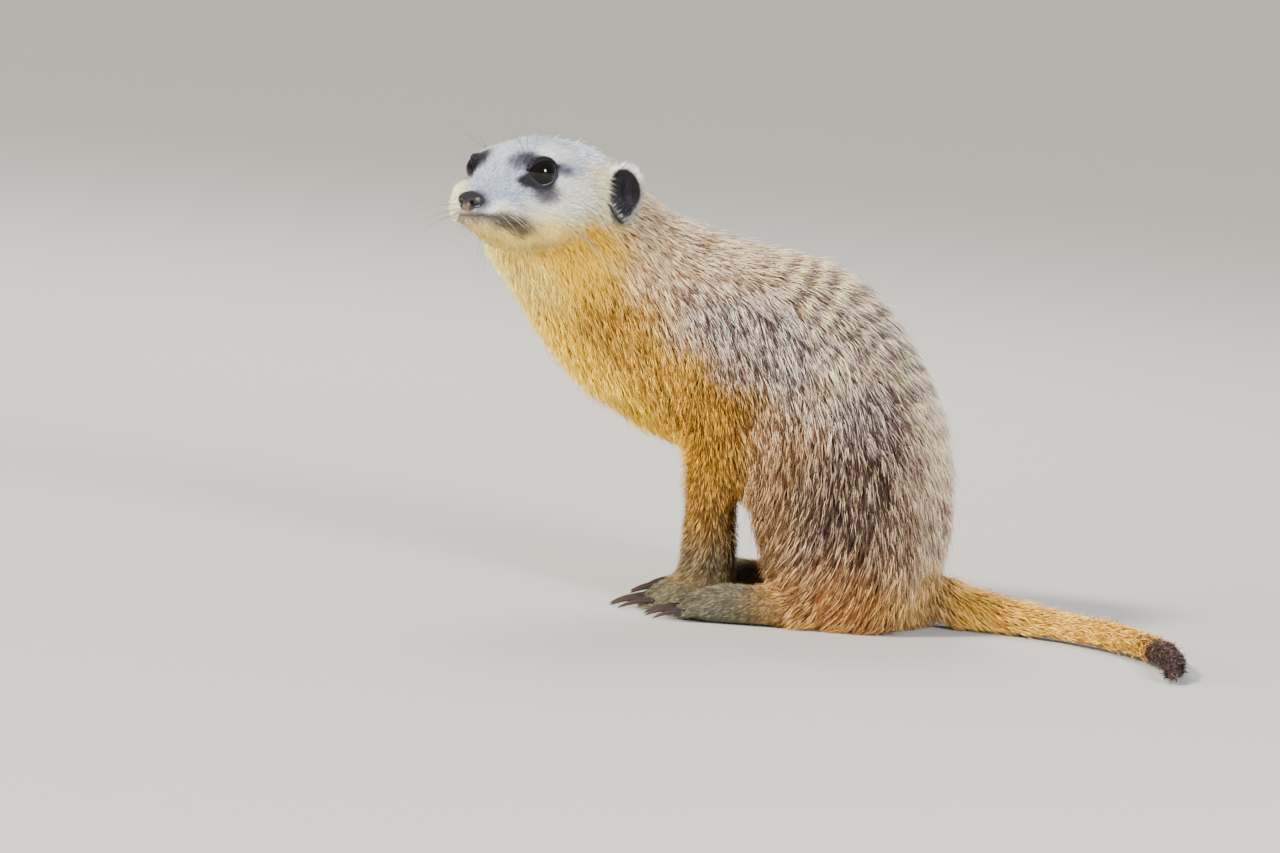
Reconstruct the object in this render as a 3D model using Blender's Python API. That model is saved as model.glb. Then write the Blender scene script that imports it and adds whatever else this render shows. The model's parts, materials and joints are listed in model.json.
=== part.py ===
"""A life-size meerkat, sitting on its haunches with all four feet on the ground, its head turned to its left.

The solids reach to the tips of the coat. The animal faces -X, its left side faces -Y, and +Z is up. Sizes
and places below are in millimetres and are scaled to metres as the meshes are made. Lengths of the body are
lofts of elliptic sections, muscles are ellipsoids, and the whole is fused into one surface. That surface is
then parted into the head, neck, trunk, legs and tail by thin cuts.
"""

import math

import bmesh
import bpy
from mathutils import Matrix, Vector

MM = 0.001
CUT = 0.3  # the gap left where two pieces meet
BROAD_GRAIN = 2.6  # the grain and the smoothing passes of the trunk, haunches and shoulders
BROAD_SMOOTHING = 14
HEAD_GRAIN = 1.5  # the same of the head by itself
HEAD_SMOOTHING = 8
FINE_GRAIN = 1.15  # the same of the whole body, with its face, feet and tail
FINE_SMOOTHING = 6
BODY_TRIANGLES = 1880
FLATNESS = [math.radians(a) for a in (7, 6, 5, 4, 3, 2, 1)]
SNUG_FLATNESS = math.radians(2)  # the most for the haunches and the trunk between them, which meet along
# curved walls: flattened further, the walls would reach across the gap
WELDS = (0.0001, 0.00005, 0.00002)  # metres
CLOSE = 0.000002
FLOOR_DEPTH = 30.0
DOME = [math.radians(a) for a in (32, 64)]

LEFT, RIGHT = -1, 1  # the sign of Y on each side
SIDES = {"left": LEFT, "right": RIGHT}

# The trunk and neck as ribs: x and z on the back, x and z on the throat or belly, middle y, half width.
TRUNK = [
    (-77, 163, -124, 124, -7, 20),
    (-64, 152, -115, 113.5, -4, 24),
    (-49, 144.5, -106, 101, -1.5, 27),
    (-33, 139, -96, 89, 0, 30),
    (-14, 136, -82, 76, 0, 33),
    (4, 132.5, -65, 65.5, 0, 35),
    (19, 124.5, -48, 58, 0, 36.5),
    (31, 113, -34, 53, 0, 38),
    (42, 98, -24, 47, 0, 39),
    (50.5, 82, -18, 42, 0, 40),
    (55.5, 66, -12, 37, 0, 40),
    (58, 48, -7, 28, 0, 39),
    (57.5, 30, 0, 17, 0, 37),
    (54, 14, 8, 6, 0, 32),
]

# The head has a frame of its own, between the ears, turned to the left and leaning a little forward.
HEAD_PLACE = (-93.5, -8.0, 150.0)
HEAD_YAW = math.radians(55)
HEAD_LEAN = math.radians(5)
# Forward, up, half width and half height of each section of the head, from the nape to the lips.
SKULL = [
    (-15, 0, 13, 11),
    (-8, -0.6, 19.5, 18),
    (3, -0.4, 23.5, 21.7),
    (16, 0.2, 24, 22.8),
    (27, 0.8, 22.5, 22.8),
    (35, 1.2, 20.8, 20.3),
    (42, -0.3, 17.4, 16.2),
    (49, -2, 13.2, 12),
    (55, -3, 10.1, 9),
    (60, -3.1, 7.6, 6.9),
]
JAW = [
    (12, -14, 14, 8),
    (26, -14, 13, 8),
    (39, -13, 10.5, 7),
    (50, -10.5, 7.5, 5),
    (56.5, -9.2, 5, 3.6),
]
# Forward, sideways, up, and the three radii of what rounds the head out on each side.
HEAD_BULGES = {
    "cheek": ((26, 12.5, -7), (18, 11, 12.5)),
    "brow": ((31, 11.2, 13.5), (10, 8, 6.5)),
    "lip": ((48.5, 6.6, -4.6), (10.5, 7.2, 6.4)),
    "ruff": ((-2, 14, -5), (13, 10, 14)),
}
EYE_PLACE = (37.2, 13.0, 10.5)
EYE_RADIUS = 6.2
NOSE_PLACE = (61.6, 0.0, 0.4)
NOSE_RADII = (3.9, 5.3, 4.3)
NOSE_MARGIN = 0.6  # how far the nose's cutter stands clear of it
MOUTH_CORNER = (41.0, -11.0)  # forward and up
MOUTH_FRONT = (62.0, -6.0)

EAR_PLACE = (2.0, 25.0, 0.5)
EAR_HALF_WIDTH = 7.9
EAR_TOP = 10.5
EAR_BOTTOM = 12.0
EAR_HOLLOW = 4.4
EAR_THICKNESS = 2.0
EAR_FACING = (0.46, 0.86, 0.20)  # forward, sideways and up
EAR_UPRIGHT = (-0.12, 0.0, 1.0)
# Rings of the ear from the middle of its back over the rim to the bottom of its hollow. Each has its share of
# the ear's reach, its height as a share of the hollow, and the height added to that.
EAR_SHELL = [
    (0.25, -1.0, -EAR_THICKNESS),
    (0.6, -0.75, -EAR_THICKNESS),
    (0.88, 0.0, -3.4),
    (0.99, 0.0, -1.2),
    (1.0, 0.0, 0.2),
    (0.92, 0.0, 0.7),
    (0.84, 0.0, 0.0),
    (0.66, -0.62, 0.0),
    (0.38, -0.92, 0.0),
    (0.14, -1.0, 0.0),
]
# The same for the room that it takes out of the head.
EAR_POCKET = [
    (0.3, -1.0, -EAR_THICKNESS - CUT),
    (0.66, -0.75, -EAR_THICKNESS - CUT),
    (0.93, 0.0, -3.7),
    (1.0, 0.0, -1.2),
    (1.0, 0.0, 1.5),
    (0.9, 0.0, 7.0),
]
EAR_GAP = CUT + 0.1

# The legs, from the top down: x, y, z, half width and half depth, with y counted outward from the middle.
SHOULDER = [
    (-40, 14, 104, 15, 20),
    (-35, 19, 86, 16, 21),
    (-30, 21, 70, 14.5, 17),
    (-31, 21, 58, 12, 13.5),
]
FOREARM = [
    (-30, 20.8, 66, 12, 14),
    (-32.5, 20.8, 53, 10.6, 12),
    (-34, 20.5, 40, 8.8, 9),
    (-34.6, 20, 28, 8, 8.2),
    (-35, 19.5, 18, 7.8, 8),
    (-36, 19.5, 10, 8, 7.6),
]
FOREFOOT = [
    (-33, 19.5, 5.9, 7.5, 7.2),
    (-38, 19.5, 7.2, 8.6, 8.6),
    (-44, 19.5, 6.0, 9.4, 7.4),
    (-48.5, 19.5, 4.5, 9, 5.5),
]
FORE_STEP = {"left": 0.0, "right": 7.0}  # how far each wrist and hand stands back
TOE_HALF_WIDTH = 2.45
TOE_HALF_HEIGHT = 2.9
FORE_TOES = [(-7.1, -2.5), (-2.5, 0.5), (2.5, 0.5), (7.1, -2.0)]  # sideways, and reach past the others
FORE_TOE_LENGTH = 7.0
FORE_CLAW = (9.5, 1.5)  # length, and half width at its root

# The haunch, thigh and shank together under the coat, from the top down.
HAUNCH = [
    (15, 17, 88, 15, 23),
    (10, 23, 68, 19.5, 33.5),
    (12, 26.5, 48, 20.5, 33.5),
    (17.5, 29.5, 27, 18.5, 31),
    (22, 32, 8, 14, 24),
]
HIND_FOOT = [
    (24, 35, 7, 8, 8),
    (10, 37, 6.8, 8, 8),
    (-6, 38.5, 6.6, 7.8, 7.6),
    (-22, 40, 6.8, 8.8, 8),
    (-34, 40.5, 5.6, 9.2, 6.2),
]
HIND_TOES = [(-6.9, -3.0), (-2.4, 0.0), (2.4, 0.5), (6.9, -1.5)]
HIND_TOE_LENGTH = 10.5
HIND_CLAW = (8.0, 1.2)

TAIL = [
    (38, 0, 20, 12, 13),
    (50, 0, 12.5, 11, 10.5),
    (62, -1, 8.4, 8.8, 8.6),
    (80, -4, 6.3, 7.3, 7.3),
    (98, -12, 5.6, 6.5, 6.5),
    (113, -24, 5.4, 6.2, 6.2),
    (125, -38, 5.3, 6.1, 6.1),
    (133, -54, 5.1, 5.8, 5.8),
    (137, -72, 4.7, 5.3, 5.3),
    (137, -90, 4.0, 4.5, 4.5),
    (135, -99, 3.3, 3.7, 3.7),
]

# Where the body is parted: a place on each cut and the way to the piece it frees.
HEAD_CUT_TILT = math.radians(16)  # the cut under the head drops this much toward the throat
HEAD_CUT = ((30, 0, 17), (52, 70, 27.5))  # middle and half sizes of the box that frees the head
JAW_CUT = (25, 40, 13)  # half sizes of the box that frees the lower jaw
NECK_CUT = ((-77, 0, 122.5), (-0.61, 0, 0.79))
CHEST_CUT = ((-20, 0, 96), (-0.80, 0, 0.60))
SHOULDER_PLACE = (-32, 26, 76)
SHOULDER_RADII = (23, 17, 27)
SHOULDER_TILT = math.radians(-12)
FOREARM_MARGIN = 2.5  # how far the forearm's cutter stands clear of it
FOREFOOT_CUT = ((-42, 20, 4), (30, 10.4, 10.5))
HIND_FOOT_CUT = ((-24, 42, 6), (38, 11.6, 14))
HAUNCH_OUTWARD = 6.0  # how far out the haunch's cutter is moved, which leaves the abdomen its middle
TAIL_CUTS = {
    "tail_tip": ((135, -85, 5), (25, 30, 12)),
    "tail_middle": ((120, -20, 5), (32, 34.7, 12)),
    "tail_base": ((72, 0, 6), (15.7, 18, 14.5)),
}

COATS = {  # colour and roughness of each part
    "back": ((0.36, 0.29, 0.22), 0.9),
    "yellow": ((0.62, 0.42, 0.16), 0.9),
    "ochre": ((0.50, 0.33, 0.15), 0.9),
    "rust": ((0.42, 0.26, 0.14), 0.9),
    "grey": ((0.52, 0.50, 0.47), 0.9),
    "paw": ((0.40, 0.34, 0.25), 0.9),
    "ear": ((0.03, 0.027, 0.03), 0.85),
    "nose": ((0.05, 0.04, 0.04), 0.4),
    "eye": ((0.02, 0.015, 0.015), 0.08),
    "claw": ((0.10, 0.075, 0.06), 0.45),
    "tail_end": ((0.12, 0.09, 0.08), 0.9),
}


# ---------------------------------------------------------------- frames

def turned(place, yaw, lean):
    """The frame at a place whose axes point forward, to the animal's left and up."""
    forward = Vector((-math.cos(yaw), -math.sin(yaw), 0))
    sideways = Vector((math.sin(yaw), -math.cos(yaw), 0))
    axes = Matrix((forward, sideways, Vector((0, 0, 1)))).transposed()
    return Matrix.Translation(place) @ (Matrix.Rotation(-lean, 3, "Y") @ axes).to_4x4()


HEAD = turned(HEAD_PLACE, HEAD_YAW, HEAD_LEAN)
PLAIN = Matrix.Identity(4)


def mirrored(stations, side, step=0.0, planted=0):
    """Limb stations on one side. The last ones, from planted on, stand back by the whole step."""
    placed = []
    for i, (x, y, z, width, depth) in enumerate(stations):
        share = min(1.0, i / planted) if planted else 1.0
        placed.append((x + step * share, y * side, z, width, depth))
    return placed


# ---------------------------------------------------------------- shapes

def between(stations, steps):
    """Stations on a smooth curve through the given ones, with steps of them to each stretch."""
    points = [Vector(s) for s in stations]
    ends = [2 * points[0] - points[1], *points, 2 * points[-1] - points[-2]]
    curve = []
    for i in range(len(points) - 1):
        a, b, c, d = ends[i : i + 4]
        for k in range(steps):
            t = k / steps
            bend = 2 * a - 5 * b + 4 * c - d
            turn = -a + 3 * b - 3 * c + d
            curve.append(0.5 * (2 * b + (c - a) * t + bend * t * t + turn * t * t * t))
    return [*curve, points[-1]]


def bridge(bm, rings):
    """Closes a row of rings of corners into a tube with flat ends."""
    sides = len(rings[0])
    for a, b in zip(rings, rings[1:]):
        for k in range(sides):
            n = (k + 1) % sides
            bm.faces.new((a[k], a[n], b[n], b[k]))
    bm.faces.new(rings[0])
    bm.faces.new(rings[-1])


def ellipse(bm, frame, centre, across, upward, sides, square=1.0):
    """A ring of corners on an ellipse of two given half axes. A square under 1 makes it boxier."""
    corners = []
    for k in range(sides):
        angle = math.tau * k / sides
        c, s = math.cos(angle), math.sin(angle)
        c = math.copysign(abs(c) ** square, c)
        s = math.copysign(abs(s) ** square, s)
        corners.append(bm.verts.new(frame @ (centre + c * across + s * upward)))
    return corners


def with_domes(sections):
    """Adds smaller and smaller sections beyond both ends. A section is its centre and its two half axes."""
    domed = []
    for (centre, across, upward), (second, _, _) in (sections[:2], sections[:-3:-1]):
        out = (centre - second).normalized() * min(across.length, upward.length)
        dome = []
        for angle in DOME:
            shrink = math.cos(angle)
            dome.append((centre + out * math.sin(angle), across * shrink, upward * shrink))
        domed.append(dome)
    return [*reversed(domed[0]), *sections, *domed[1]]


def add_loft(bm, frame, stations, lateral=(0, 1, 0), sides=20, steps=3, square=1.0):
    """A closed tube of elliptic sections square to its path, with domed ends."""
    path = between(stations, steps)
    centres = [Vector(s[:3]) for s in path]
    sections = []
    for i, station in enumerate(path):
        ahead = centres[min(i + 1, len(centres) - 1)]
        along = (ahead - centres[max(i - 1, 0)]).normalized()
        across = Vector(lateral) - Vector(lateral).dot(along) * along
        across.normalize()
        sections.append((centres[i], across * station[3], along.cross(across) * station[4]))
    bridge(bm, [ellipse(bm, frame, *section, sides, square) for section in with_domes(sections)])


def add_ribs(bm, ribs, sides=28, steps=4):
    """A closed tube of elliptic sections, each held between a place on the back and a place on the belly."""
    sections = []
    for back_x, back_z, front_x, front_z, y, width in between(ribs, steps):
        back = Vector((back_x, y, back_z))
        front = Vector((front_x, y, front_z))
        sections.append(((back + front) / 2, Vector((0, width, 0)), (back - front) / 2))
    bridge(bm, [ellipse(bm, PLAIN, *section, sides) for section in with_domes(sections)])


def add_ellipsoid(bm, frame, centre, radii, segments=14, rings=8):
    shape = frame @ Matrix.Translation(centre) @ Matrix.Diagonal((*radii, 1))
    bmesh.ops.create_uvsphere(bm, u_segments=segments, v_segments=rings, radius=1, matrix=shape)


def head_stations(rows):
    """Stations of a loft in the head's frame, from rows of forward, up, half width and half height."""
    return [(forward, 0, up, width, height) for forward, up, width, height in rows]


def toe_stations(foot, sideways, reach, length):
    """One toe, from inside the end of a foot to its tip, level with the ground."""
    x, y, z, _, _ = foot[-1]
    tip = x - length - reach
    wide, high = TOE_HALF_WIDTH, TOE_HALF_HEIGHT
    return [
        (x + 5, y + sideways * 0.8, z + 0.6, wide, high * 1.05),
        (x - 2, y + sideways, z, wide, high),
        ((x + tip) / 2, y + sideways * 1.12, high + 0.1, wide, high),
        (tip, y + sideways * 1.2, high - 0.7, wide * 0.85, high * 0.85),
    ]


def claw_stations(toe, length, root):
    """A claw that leaves the tip of a toe, arches forward and comes down to the ground."""
    x, y, z, _, height = toe[-1]
    x -= height * 0.2
    return [
        (x + 1.5, y, z + 1.2, root, root * 1.2),
        (x - length * 0.35, y, z + 1.3, root * 0.95, root * 1.1),
        (x - length * 0.7, y, z * 0.55 + 0.6, root * 0.7, root * 0.8),
        (x - length, y, 0.9, root * 0.35, root * 0.4),
    ]


def new_object(name, bm, coat=None):
    """The mesh, scaled from millimetres to metres, as an object with its coat's material."""
    bmesh.ops.scale(bm, vec=(MM, MM, MM), verts=bm.verts)
    bmesh.ops.recalc_face_normals(bm, faces=bm.faces)
    mesh = bpy.data.meshes.new(name)
    bm.to_mesh(mesh)
    bm.free()
    obj = bpy.data.objects.new(name, mesh)
    bpy.context.scene.collection.objects.link(obj)
    if coat:
        mesh.materials.append(coat_material(coat))
        mesh.shade_smooth()
    return obj


def coat_material(coat):
    found = bpy.data.materials.get(coat)
    if found:
        return found
    colour, roughness = COATS[coat]
    made = bpy.data.materials.new(coat)
    made.use_nodes = True
    shader = made.node_tree.nodes["Principled BSDF"]
    shader.inputs["Base Color"].default_value = (*colour, 1)
    shader.inputs["Roughness"].default_value = roughness
    shader.inputs["Metallic"].default_value = 0.0
    return made


# ---------------------------------------------------------------- modifiers

def applied(obj):
    """Replaces the object's mesh by what its modifiers make of it."""
    bpy.context.view_layer.update()
    graph = bpy.context.evaluated_depsgraph_get()
    made = bpy.data.meshes.new_from_object(obj.evaluated_get(graph))
    obj.modifiers.clear()
    obj.data = made
    return obj


def joined(obj, other):
    """Adds the other object's mesh to the first and deletes the other."""
    bm = bmesh.new()
    bm.from_mesh(obj.data)
    bm.from_mesh(other.data)
    bm.to_mesh(obj.data)
    bm.free()
    remove(other)
    return obj


def fused(obj, grain, smoothing):
    """Runs all that overlaps in the object into one surface of an even grain, and smooths it."""
    fuse = obj.modifiers.new("fuse", "REMESH")
    fuse.mode = "VOXEL"
    fuse.voxel_size = grain * MM
    smooth = obj.modifiers.new("smooth", "SMOOTH")
    smooth.iterations = smoothing
    return applied(obj)


def boolean(obj, operation, other):
    cut = obj.modifiers.new(operation.lower(), "BOOLEAN")
    cut.operation = operation
    cut.object = other
    return applied(obj)


def copied(obj, name):
    twin = obj.copy()
    twin.data = obj.data.copy()
    twin.name = name
    bpy.context.scene.collection.objects.link(twin)
    return twin


def keep_largest(obj):
    """Drops crumbs that a cut leaves beside the main body of a piece."""
    bm = bmesh.new()
    bm.from_mesh(obj.data)
    left = set(bm.verts)
    bodies = []
    while left:
        edge = [left.pop()]
        body = set(edge)
        while edge:
            for link in edge.pop().link_edges:
                for vert in link.verts:
                    if vert in left:
                        left.discard(vert)
                        body.add(vert)
                        edge.append(vert)
        bodies.append(body)
    bodies.sort(key=len)
    for body in bodies[:-1]:
        bmesh.ops.delete(bm, geom=list(body), context="VERTS")
    bm.to_mesh(obj.data)
    bm.free()


def remove(*objects):
    for obj in objects:
        bpy.data.objects.remove(obj)


def hollow(rest, *cutters):
    """Takes the cutters out of the rest of the body and deletes them."""
    for cutter in cutters:
        boolean(rest, "DIFFERENCE", cutter)
        remove(cutter)


def part_off(rest, name, coat, cutter_at, most=FLATNESS[0]):
    """Parts a named piece off the rest: what lies inside the cutter. cutter_at makes it at a given growth."""
    piece = copied(rest, name)
    inner = cutter_at(-CUT)
    boolean(piece, "INTERSECT", inner)
    remove(inner)
    hollow(rest, cutter_at(0.0))
    keep_largest(piece)
    dress(piece, coat, most)


def tidied(mesh, flatness, weld):
    """The mesh without slivers, and with what is flat to within an angle split into few triangles."""
    bm = bmesh.new()
    bm.from_mesh(mesh)
    bmesh.ops.remove_doubles(bm, verts=bm.verts, dist=weld)
    bmesh.ops.dissolve_degenerate(bm, edges=bm.edges, dist=weld)
    bmesh.ops.dissolve_limit(bm, angle_limit=flatness, verts=bm.verts, edges=bm.edges)
    bmesh.ops.triangulate(bm, faces=bm.faces)
    return bm


def is_closed(bm):
    """Whether every edge has two faces, and no two corners lie in one place."""
    close = bmesh.ops.find_doubles(bm, verts=bm.verts, dist=CLOSE)["targetmap"]
    return not close and all(len(e.link_faces) == 2 for e in bm.edges)


def tidy(obj, most):
    """Drops the small faces that the cuts leave, as far as the surface stays closed."""
    for flatness in [angle for angle in FLATNESS if angle <= most]:
        for weld in WELDS:
            bm = tidied(obj.data, flatness, weld)
            closed = is_closed(bm)
            if closed:
                bm.to_mesh(obj.data)
            bm.free()
            if closed:
                return


def dress(obj, coat, most=FLATNESS[0]):
    tidy(obj, most)
    obj.data.materials.clear()
    obj.data.materials.append(coat_material(coat))
    obj.data.shade_smooth()


# ---------------------------------------------------------------- the body

def broad_body():
    """The trunk with the haunches and shoulders run smoothly into it, as they are under a long coat."""
    bm = bmesh.new()
    add_ribs(bm, TRUNK)
    for side in SIDES.values():
        add_loft(bm, PLAIN, mirrored(HAUNCH, side))
        add_loft(bm, PLAIN, mirrored(SHOULDER, side))
    return fused(new_object("broad", bm), BROAD_GRAIN, BROAD_SMOOTHING)


def head_alone():
    """The head with its jaw, cheeks, brows and lips, without eyes, ears and nose."""
    bm = bmesh.new()
    add_loft(bm, HEAD, head_stations(SKULL), sides=28, steps=4)
    add_loft(bm, HEAD, head_stations(JAW))
    for side in SIDES.values():
        for (forward, sideways, up), radii in HEAD_BULGES.values():
            add_ellipsoid(bm, HEAD, (forward, -sideways * side, up), radii)
    return fused(new_object("head", bm), HEAD_GRAIN, HEAD_SMOOTHING)


def fused_body():
    """The whole animal but its eyes, ears and claws, as one closed surface with flats on the ground."""
    bm = bmesh.new()
    add_loft(bm, PLAIN, TAIL, lateral=(0, 0, 1), steps=4)
    add_ellipsoid(bm, HEAD, NOSE_PLACE, NOSE_RADII)
    for name, side in SIDES.items():
        add_loft(bm, PLAIN, mirrored(FOREARM, side, FORE_STEP[name], planted=4))
        add_loft(bm, PLAIN, forefoot(name), square=0.85)
        add_loft(bm, PLAIN, mirrored(HIND_FOOT, side), square=0.85)
        for toe in fore_toes(name) + hind_toes(name):
            add_loft(bm, PLAIN, toe, sides=12)
    body = joined(joined(new_object("body", bm), broad_body()), head_alone())
    fused(body, FINE_GRAIN, FINE_SMOOTHING)
    thin = body.modifiers.new("thin", "DECIMATE")
    thin.ratio = BODY_TRIANGLES / (2 * len(body.data.polygons))
    thin.use_collapse_triangulate = True
    applied(body)
    hollow(body, box_from("ground", (0, 0, -FLOOR_DEPTH), (500, 500, FLOOR_DEPTH)))
    return body


def forefoot(name):
    return mirrored(FOREFOOT, SIDES[name], FORE_STEP[name])


def fore_toes(name):
    return [toe_stations(forefoot(name), s, reach, FORE_TOE_LENGTH) for s, reach in FORE_TOES]


def hind_toes(name):
    foot = mirrored(HIND_FOOT, SIDES[name])
    return [toe_stations(foot, s, reach, HIND_TOE_LENGTH) for s, reach in HIND_TOES]


# ---------------------------------------------------------------- cutters

def box_from(name, centre, half_sizes, frame=PLAIN):
    bm = bmesh.new()
    shape = frame @ Matrix.Translation(centre) @ Matrix.Diagonal((*[2 * h for h in half_sizes], 1))
    bmesh.ops.create_cube(bm, size=1, matrix=shape)
    return new_object(name, bm)


def beyond(place, towards, reach=200):
    """A cutter maker for all that lies beyond a plane, on the side that towards points to."""
    along = Vector(towards).normalized()
    frame = Matrix.Translation(place) @ along.to_track_quat("Z", "Y").to_matrix().to_4x4()

    def cutter(grow):
        half = reach / 2 + grow / 2
        return box_from("cutter", (0, 0, reach / 2 - grow / 2), (reach, reach, half), frame)

    return cutter


def within(centre, radii, frame=PLAIN):
    """A cutter maker for all that lies inside an ellipsoid."""

    def cutter(grow):
        bm = bmesh.new()
        add_ellipsoid(bm, frame, centre, [r + grow for r in radii])
        return new_object("cutter", bm)

    return cutter


def inside_box(centre, half_sizes, frame=PLAIN):
    """A cutter maker for all that lies inside a box."""

    def cutter(grow):
        return box_from("cutter", centre, [h + grow for h in half_sizes], frame)

    return cutter


def around(stations, margin=0.0, outward=0.0):
    """A cutter maker for all that lies inside a loft, which may be wider by a margin and moved outward."""

    def cutter(grow):
        more = margin + grow
        moved = [(x, y + math.copysign(outward, y), z, w + more, d + more) for x, y, z, w, d in stations]
        bm = bmesh.new()
        add_loft(bm, PLAIN, moved, sides=12, steps=1)
        return new_object("cutter", bm)

    return cutter


# ---------------------------------------------------------------- ears

def ear_frame(side):
    """The frame of an ear: forward across it, up along it, and outward."""
    forward, sideways, up = EAR_FACING
    outward = Vector((forward, -sideways * side, up)).normalized()
    upright = Vector(EAR_UPRIGHT)
    upright = (upright - upright.dot(outward) * outward).normalized()
    across = upright.cross(outward)
    place = Vector((EAR_PLACE[0], -EAR_PLACE[1] * side, EAR_PLACE[2]))
    axes = Matrix((across, upright, outward)).transposed()
    return HEAD @ Matrix.Translation(place) @ axes.to_4x4()


def ear_edge(angle, grow):
    """The ear's outline: round above, and drawn down to a blunt point below."""
    c, s = math.cos(angle), math.sin(angle)
    across = EAR_HALF_WIDTH * c
    if s > 0:
        return across + grow * c, EAR_TOP * s + grow * s
    narrowing = 1 - 0.55 * s * s
    return across * narrowing + grow * c, EAR_BOTTOM * s + grow * s


def add_ear_face(bm, frame, profile, grow, sides=15):
    """Rings of corners around the ear's middle, after a profile."""
    rings = []
    for reach, share, more in profile:
        height = EAR_HOLLOW * share + more
        edge = [ear_edge(math.tau * k / sides, grow) for k in range(sides)]
        rings.append([bm.verts.new(frame @ Vector((a * reach, b * reach, height))) for a, b in edge])
    return rings


def ear_shell(name, side):
    """The ear: a bowl with a rounded rim, hollow on its outer face."""
    bm = bmesh.new()
    bridge(bm, add_ear_face(bm, ear_frame(side), EAR_SHELL, 0.0))
    return new_object(name, bm, "ear")


def ear_pocket(side):
    """The room that an ear takes out of the head, its hollow included."""
    bm = bmesh.new()
    bridge(bm, add_ear_face(bm, ear_frame(side), EAR_POCKET, EAR_GAP))
    return new_object("pocket", bm)


# ---------------------------------------------------------------- pieces

def make_eye(rest, name, side):
    forward, sideways, up = EYE_PLACE
    centre = (forward, -sideways * side, up)
    hollow(rest, within(centre, [EYE_RADIUS] * 3, HEAD)(CUT))
    bm = bmesh.new()
    add_ellipsoid(bm, HEAD, centre, [EYE_RADIUS] * 3)
    new_object(f"eye_{name}", bm, "eye")


def make_claws(rest, name, kind, toes, claw):
    length, root = claw
    for number, toe in enumerate(toes, 1):
        stations = claw_stations(toe, length, root)
        room = bmesh.new()
        wider = [(x, y, z, w + CUT, d + CUT) for x, y, z, w, d in stations]
        add_loft(room, PLAIN, wider, sides=6, steps=1)
        hollow(rest, new_object("room", room))
        bm = bmesh.new()
        add_loft(bm, PLAIN, stations, sides=5, steps=1)
        new_object(f"claw_{kind}_{name}_{number}", bm, "claw")


def part_head(rest):
    """Frees the lower jaw below the line of the mouth, then the head above a slanting cut behind the jaw."""
    back, front = Vector(MOUTH_CORNER), Vector(MOUTH_FRONT)
    slope = math.atan2(front.y - back.y, front.x - back.x)
    hinge = HEAD @ Matrix.Translation((back.x, 0, back.y)) @ Matrix.Rotation(-slope, 4, "Y")
    centre = (JAW_CUT[0], 0, -JAW_CUT[2])
    part_off(rest, "lower_jaw", "grey", inside_box(centre, JAW_CUT, hinge))
    tilt = HEAD @ Matrix.Rotation(HEAD_CUT_TILT, 4, "Y")
    part_off(rest, "head", "grey", inside_box(*HEAD_CUT, tilt))


def part_legs(rest, name, side):
    """Frees the haunch, the feet, the forearm and the upper arm of one side."""

    def sided(cut, step=0.0):
        (x, y, z), half_sizes = cut
        return (x + step, y * side, z), half_sizes

    step = FORE_STEP[name]
    haunch = around(mirrored(HAUNCH, side), outward=HAUNCH_OUTWARD)
    part_off(rest, f"thigh_{name}", "rust", haunch, SNUG_FLATNESS)
    part_off(rest, f"hind_foot_{name}", "paw", inside_box(*sided(HIND_FOOT_CUT)))
    part_off(rest, f"forefoot_{name}", "paw", inside_box(*sided(FOREFOOT_CUT, step)))
    forearm = mirrored(FOREARM, side, step, planted=4)[1:5]
    part_off(rest, f"forearm_{name}", "ochre", around(forearm, margin=FOREARM_MARGIN))
    frame = Matrix.Translation((SHOULDER_PLACE[0], SHOULDER_PLACE[1] * side, SHOULDER_PLACE[2]))
    frame = frame @ Matrix.Rotation(SHOULDER_TILT, 4, "Y")
    part_off(rest, f"upper_arm_{name}", "ochre", within((0, 0, 0), SHOULDER_RADII, frame))


def centre_on_floor():
    """Moves every mesh so that the origin is under the middle of the animal's box, at floor level."""
    corners = [v.co for obj in bpy.data.objects for v in obj.data.vertices]
    low = Vector([min(c[i] for c in corners) for i in range(3)])
    high = Vector([max(c[i] for c in corners) for i in range(3)])
    middle = (low + high) / 2
    middle.z = low.z
    for obj in bpy.data.objects:
        obj.data.transform(Matrix.Translation(-middle))


def main():
    for obj in list(bpy.data.objects):
        bpy.data.objects.remove(obj)
    rest = fused_body()
    for name, side in SIDES.items():
        make_eye(rest, name, side)
        make_claws(rest, name, "fore", fore_toes(name), FORE_CLAW)
        make_claws(rest, name, "hind", hind_toes(name), HIND_CLAW)
        hollow(rest, ear_pocket(side))
        ear_shell(f"ear_{name}", side)
    part_off(rest, "nose", "nose", within(NOSE_PLACE, [r + NOSE_MARGIN for r in NOSE_RADII], HEAD))
    part_head(rest)
    for name, side in SIDES.items():
        part_legs(rest, name, side)
    for name, (centre, half_sizes) in TAIL_CUTS.items():
        part_off(rest, name, "tail_end" if name == "tail_tip" else "ochre", inside_box(centre, half_sizes))
    part_off(rest, "neck", "yellow", beyond(*NECK_CUT))
    part_off(rest, "chest", "yellow", beyond(*CHEST_CUT))
    keep_largest(rest)
    rest.name = "abdomen"
    dress(rest, "back", SNUG_FLATNESS)
    centre_on_floor()


main()
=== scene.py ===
"""The meerkat's looks: skin, coat, eyes, nose, ears, claws and whiskers over the CAD solids.

Places are in millimetres in the CAD's design frame, where the animal faces -X and its left side
faces -Y. Places on the head are (forward, outward, up) from a point between the ears.
"""

import math

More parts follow.
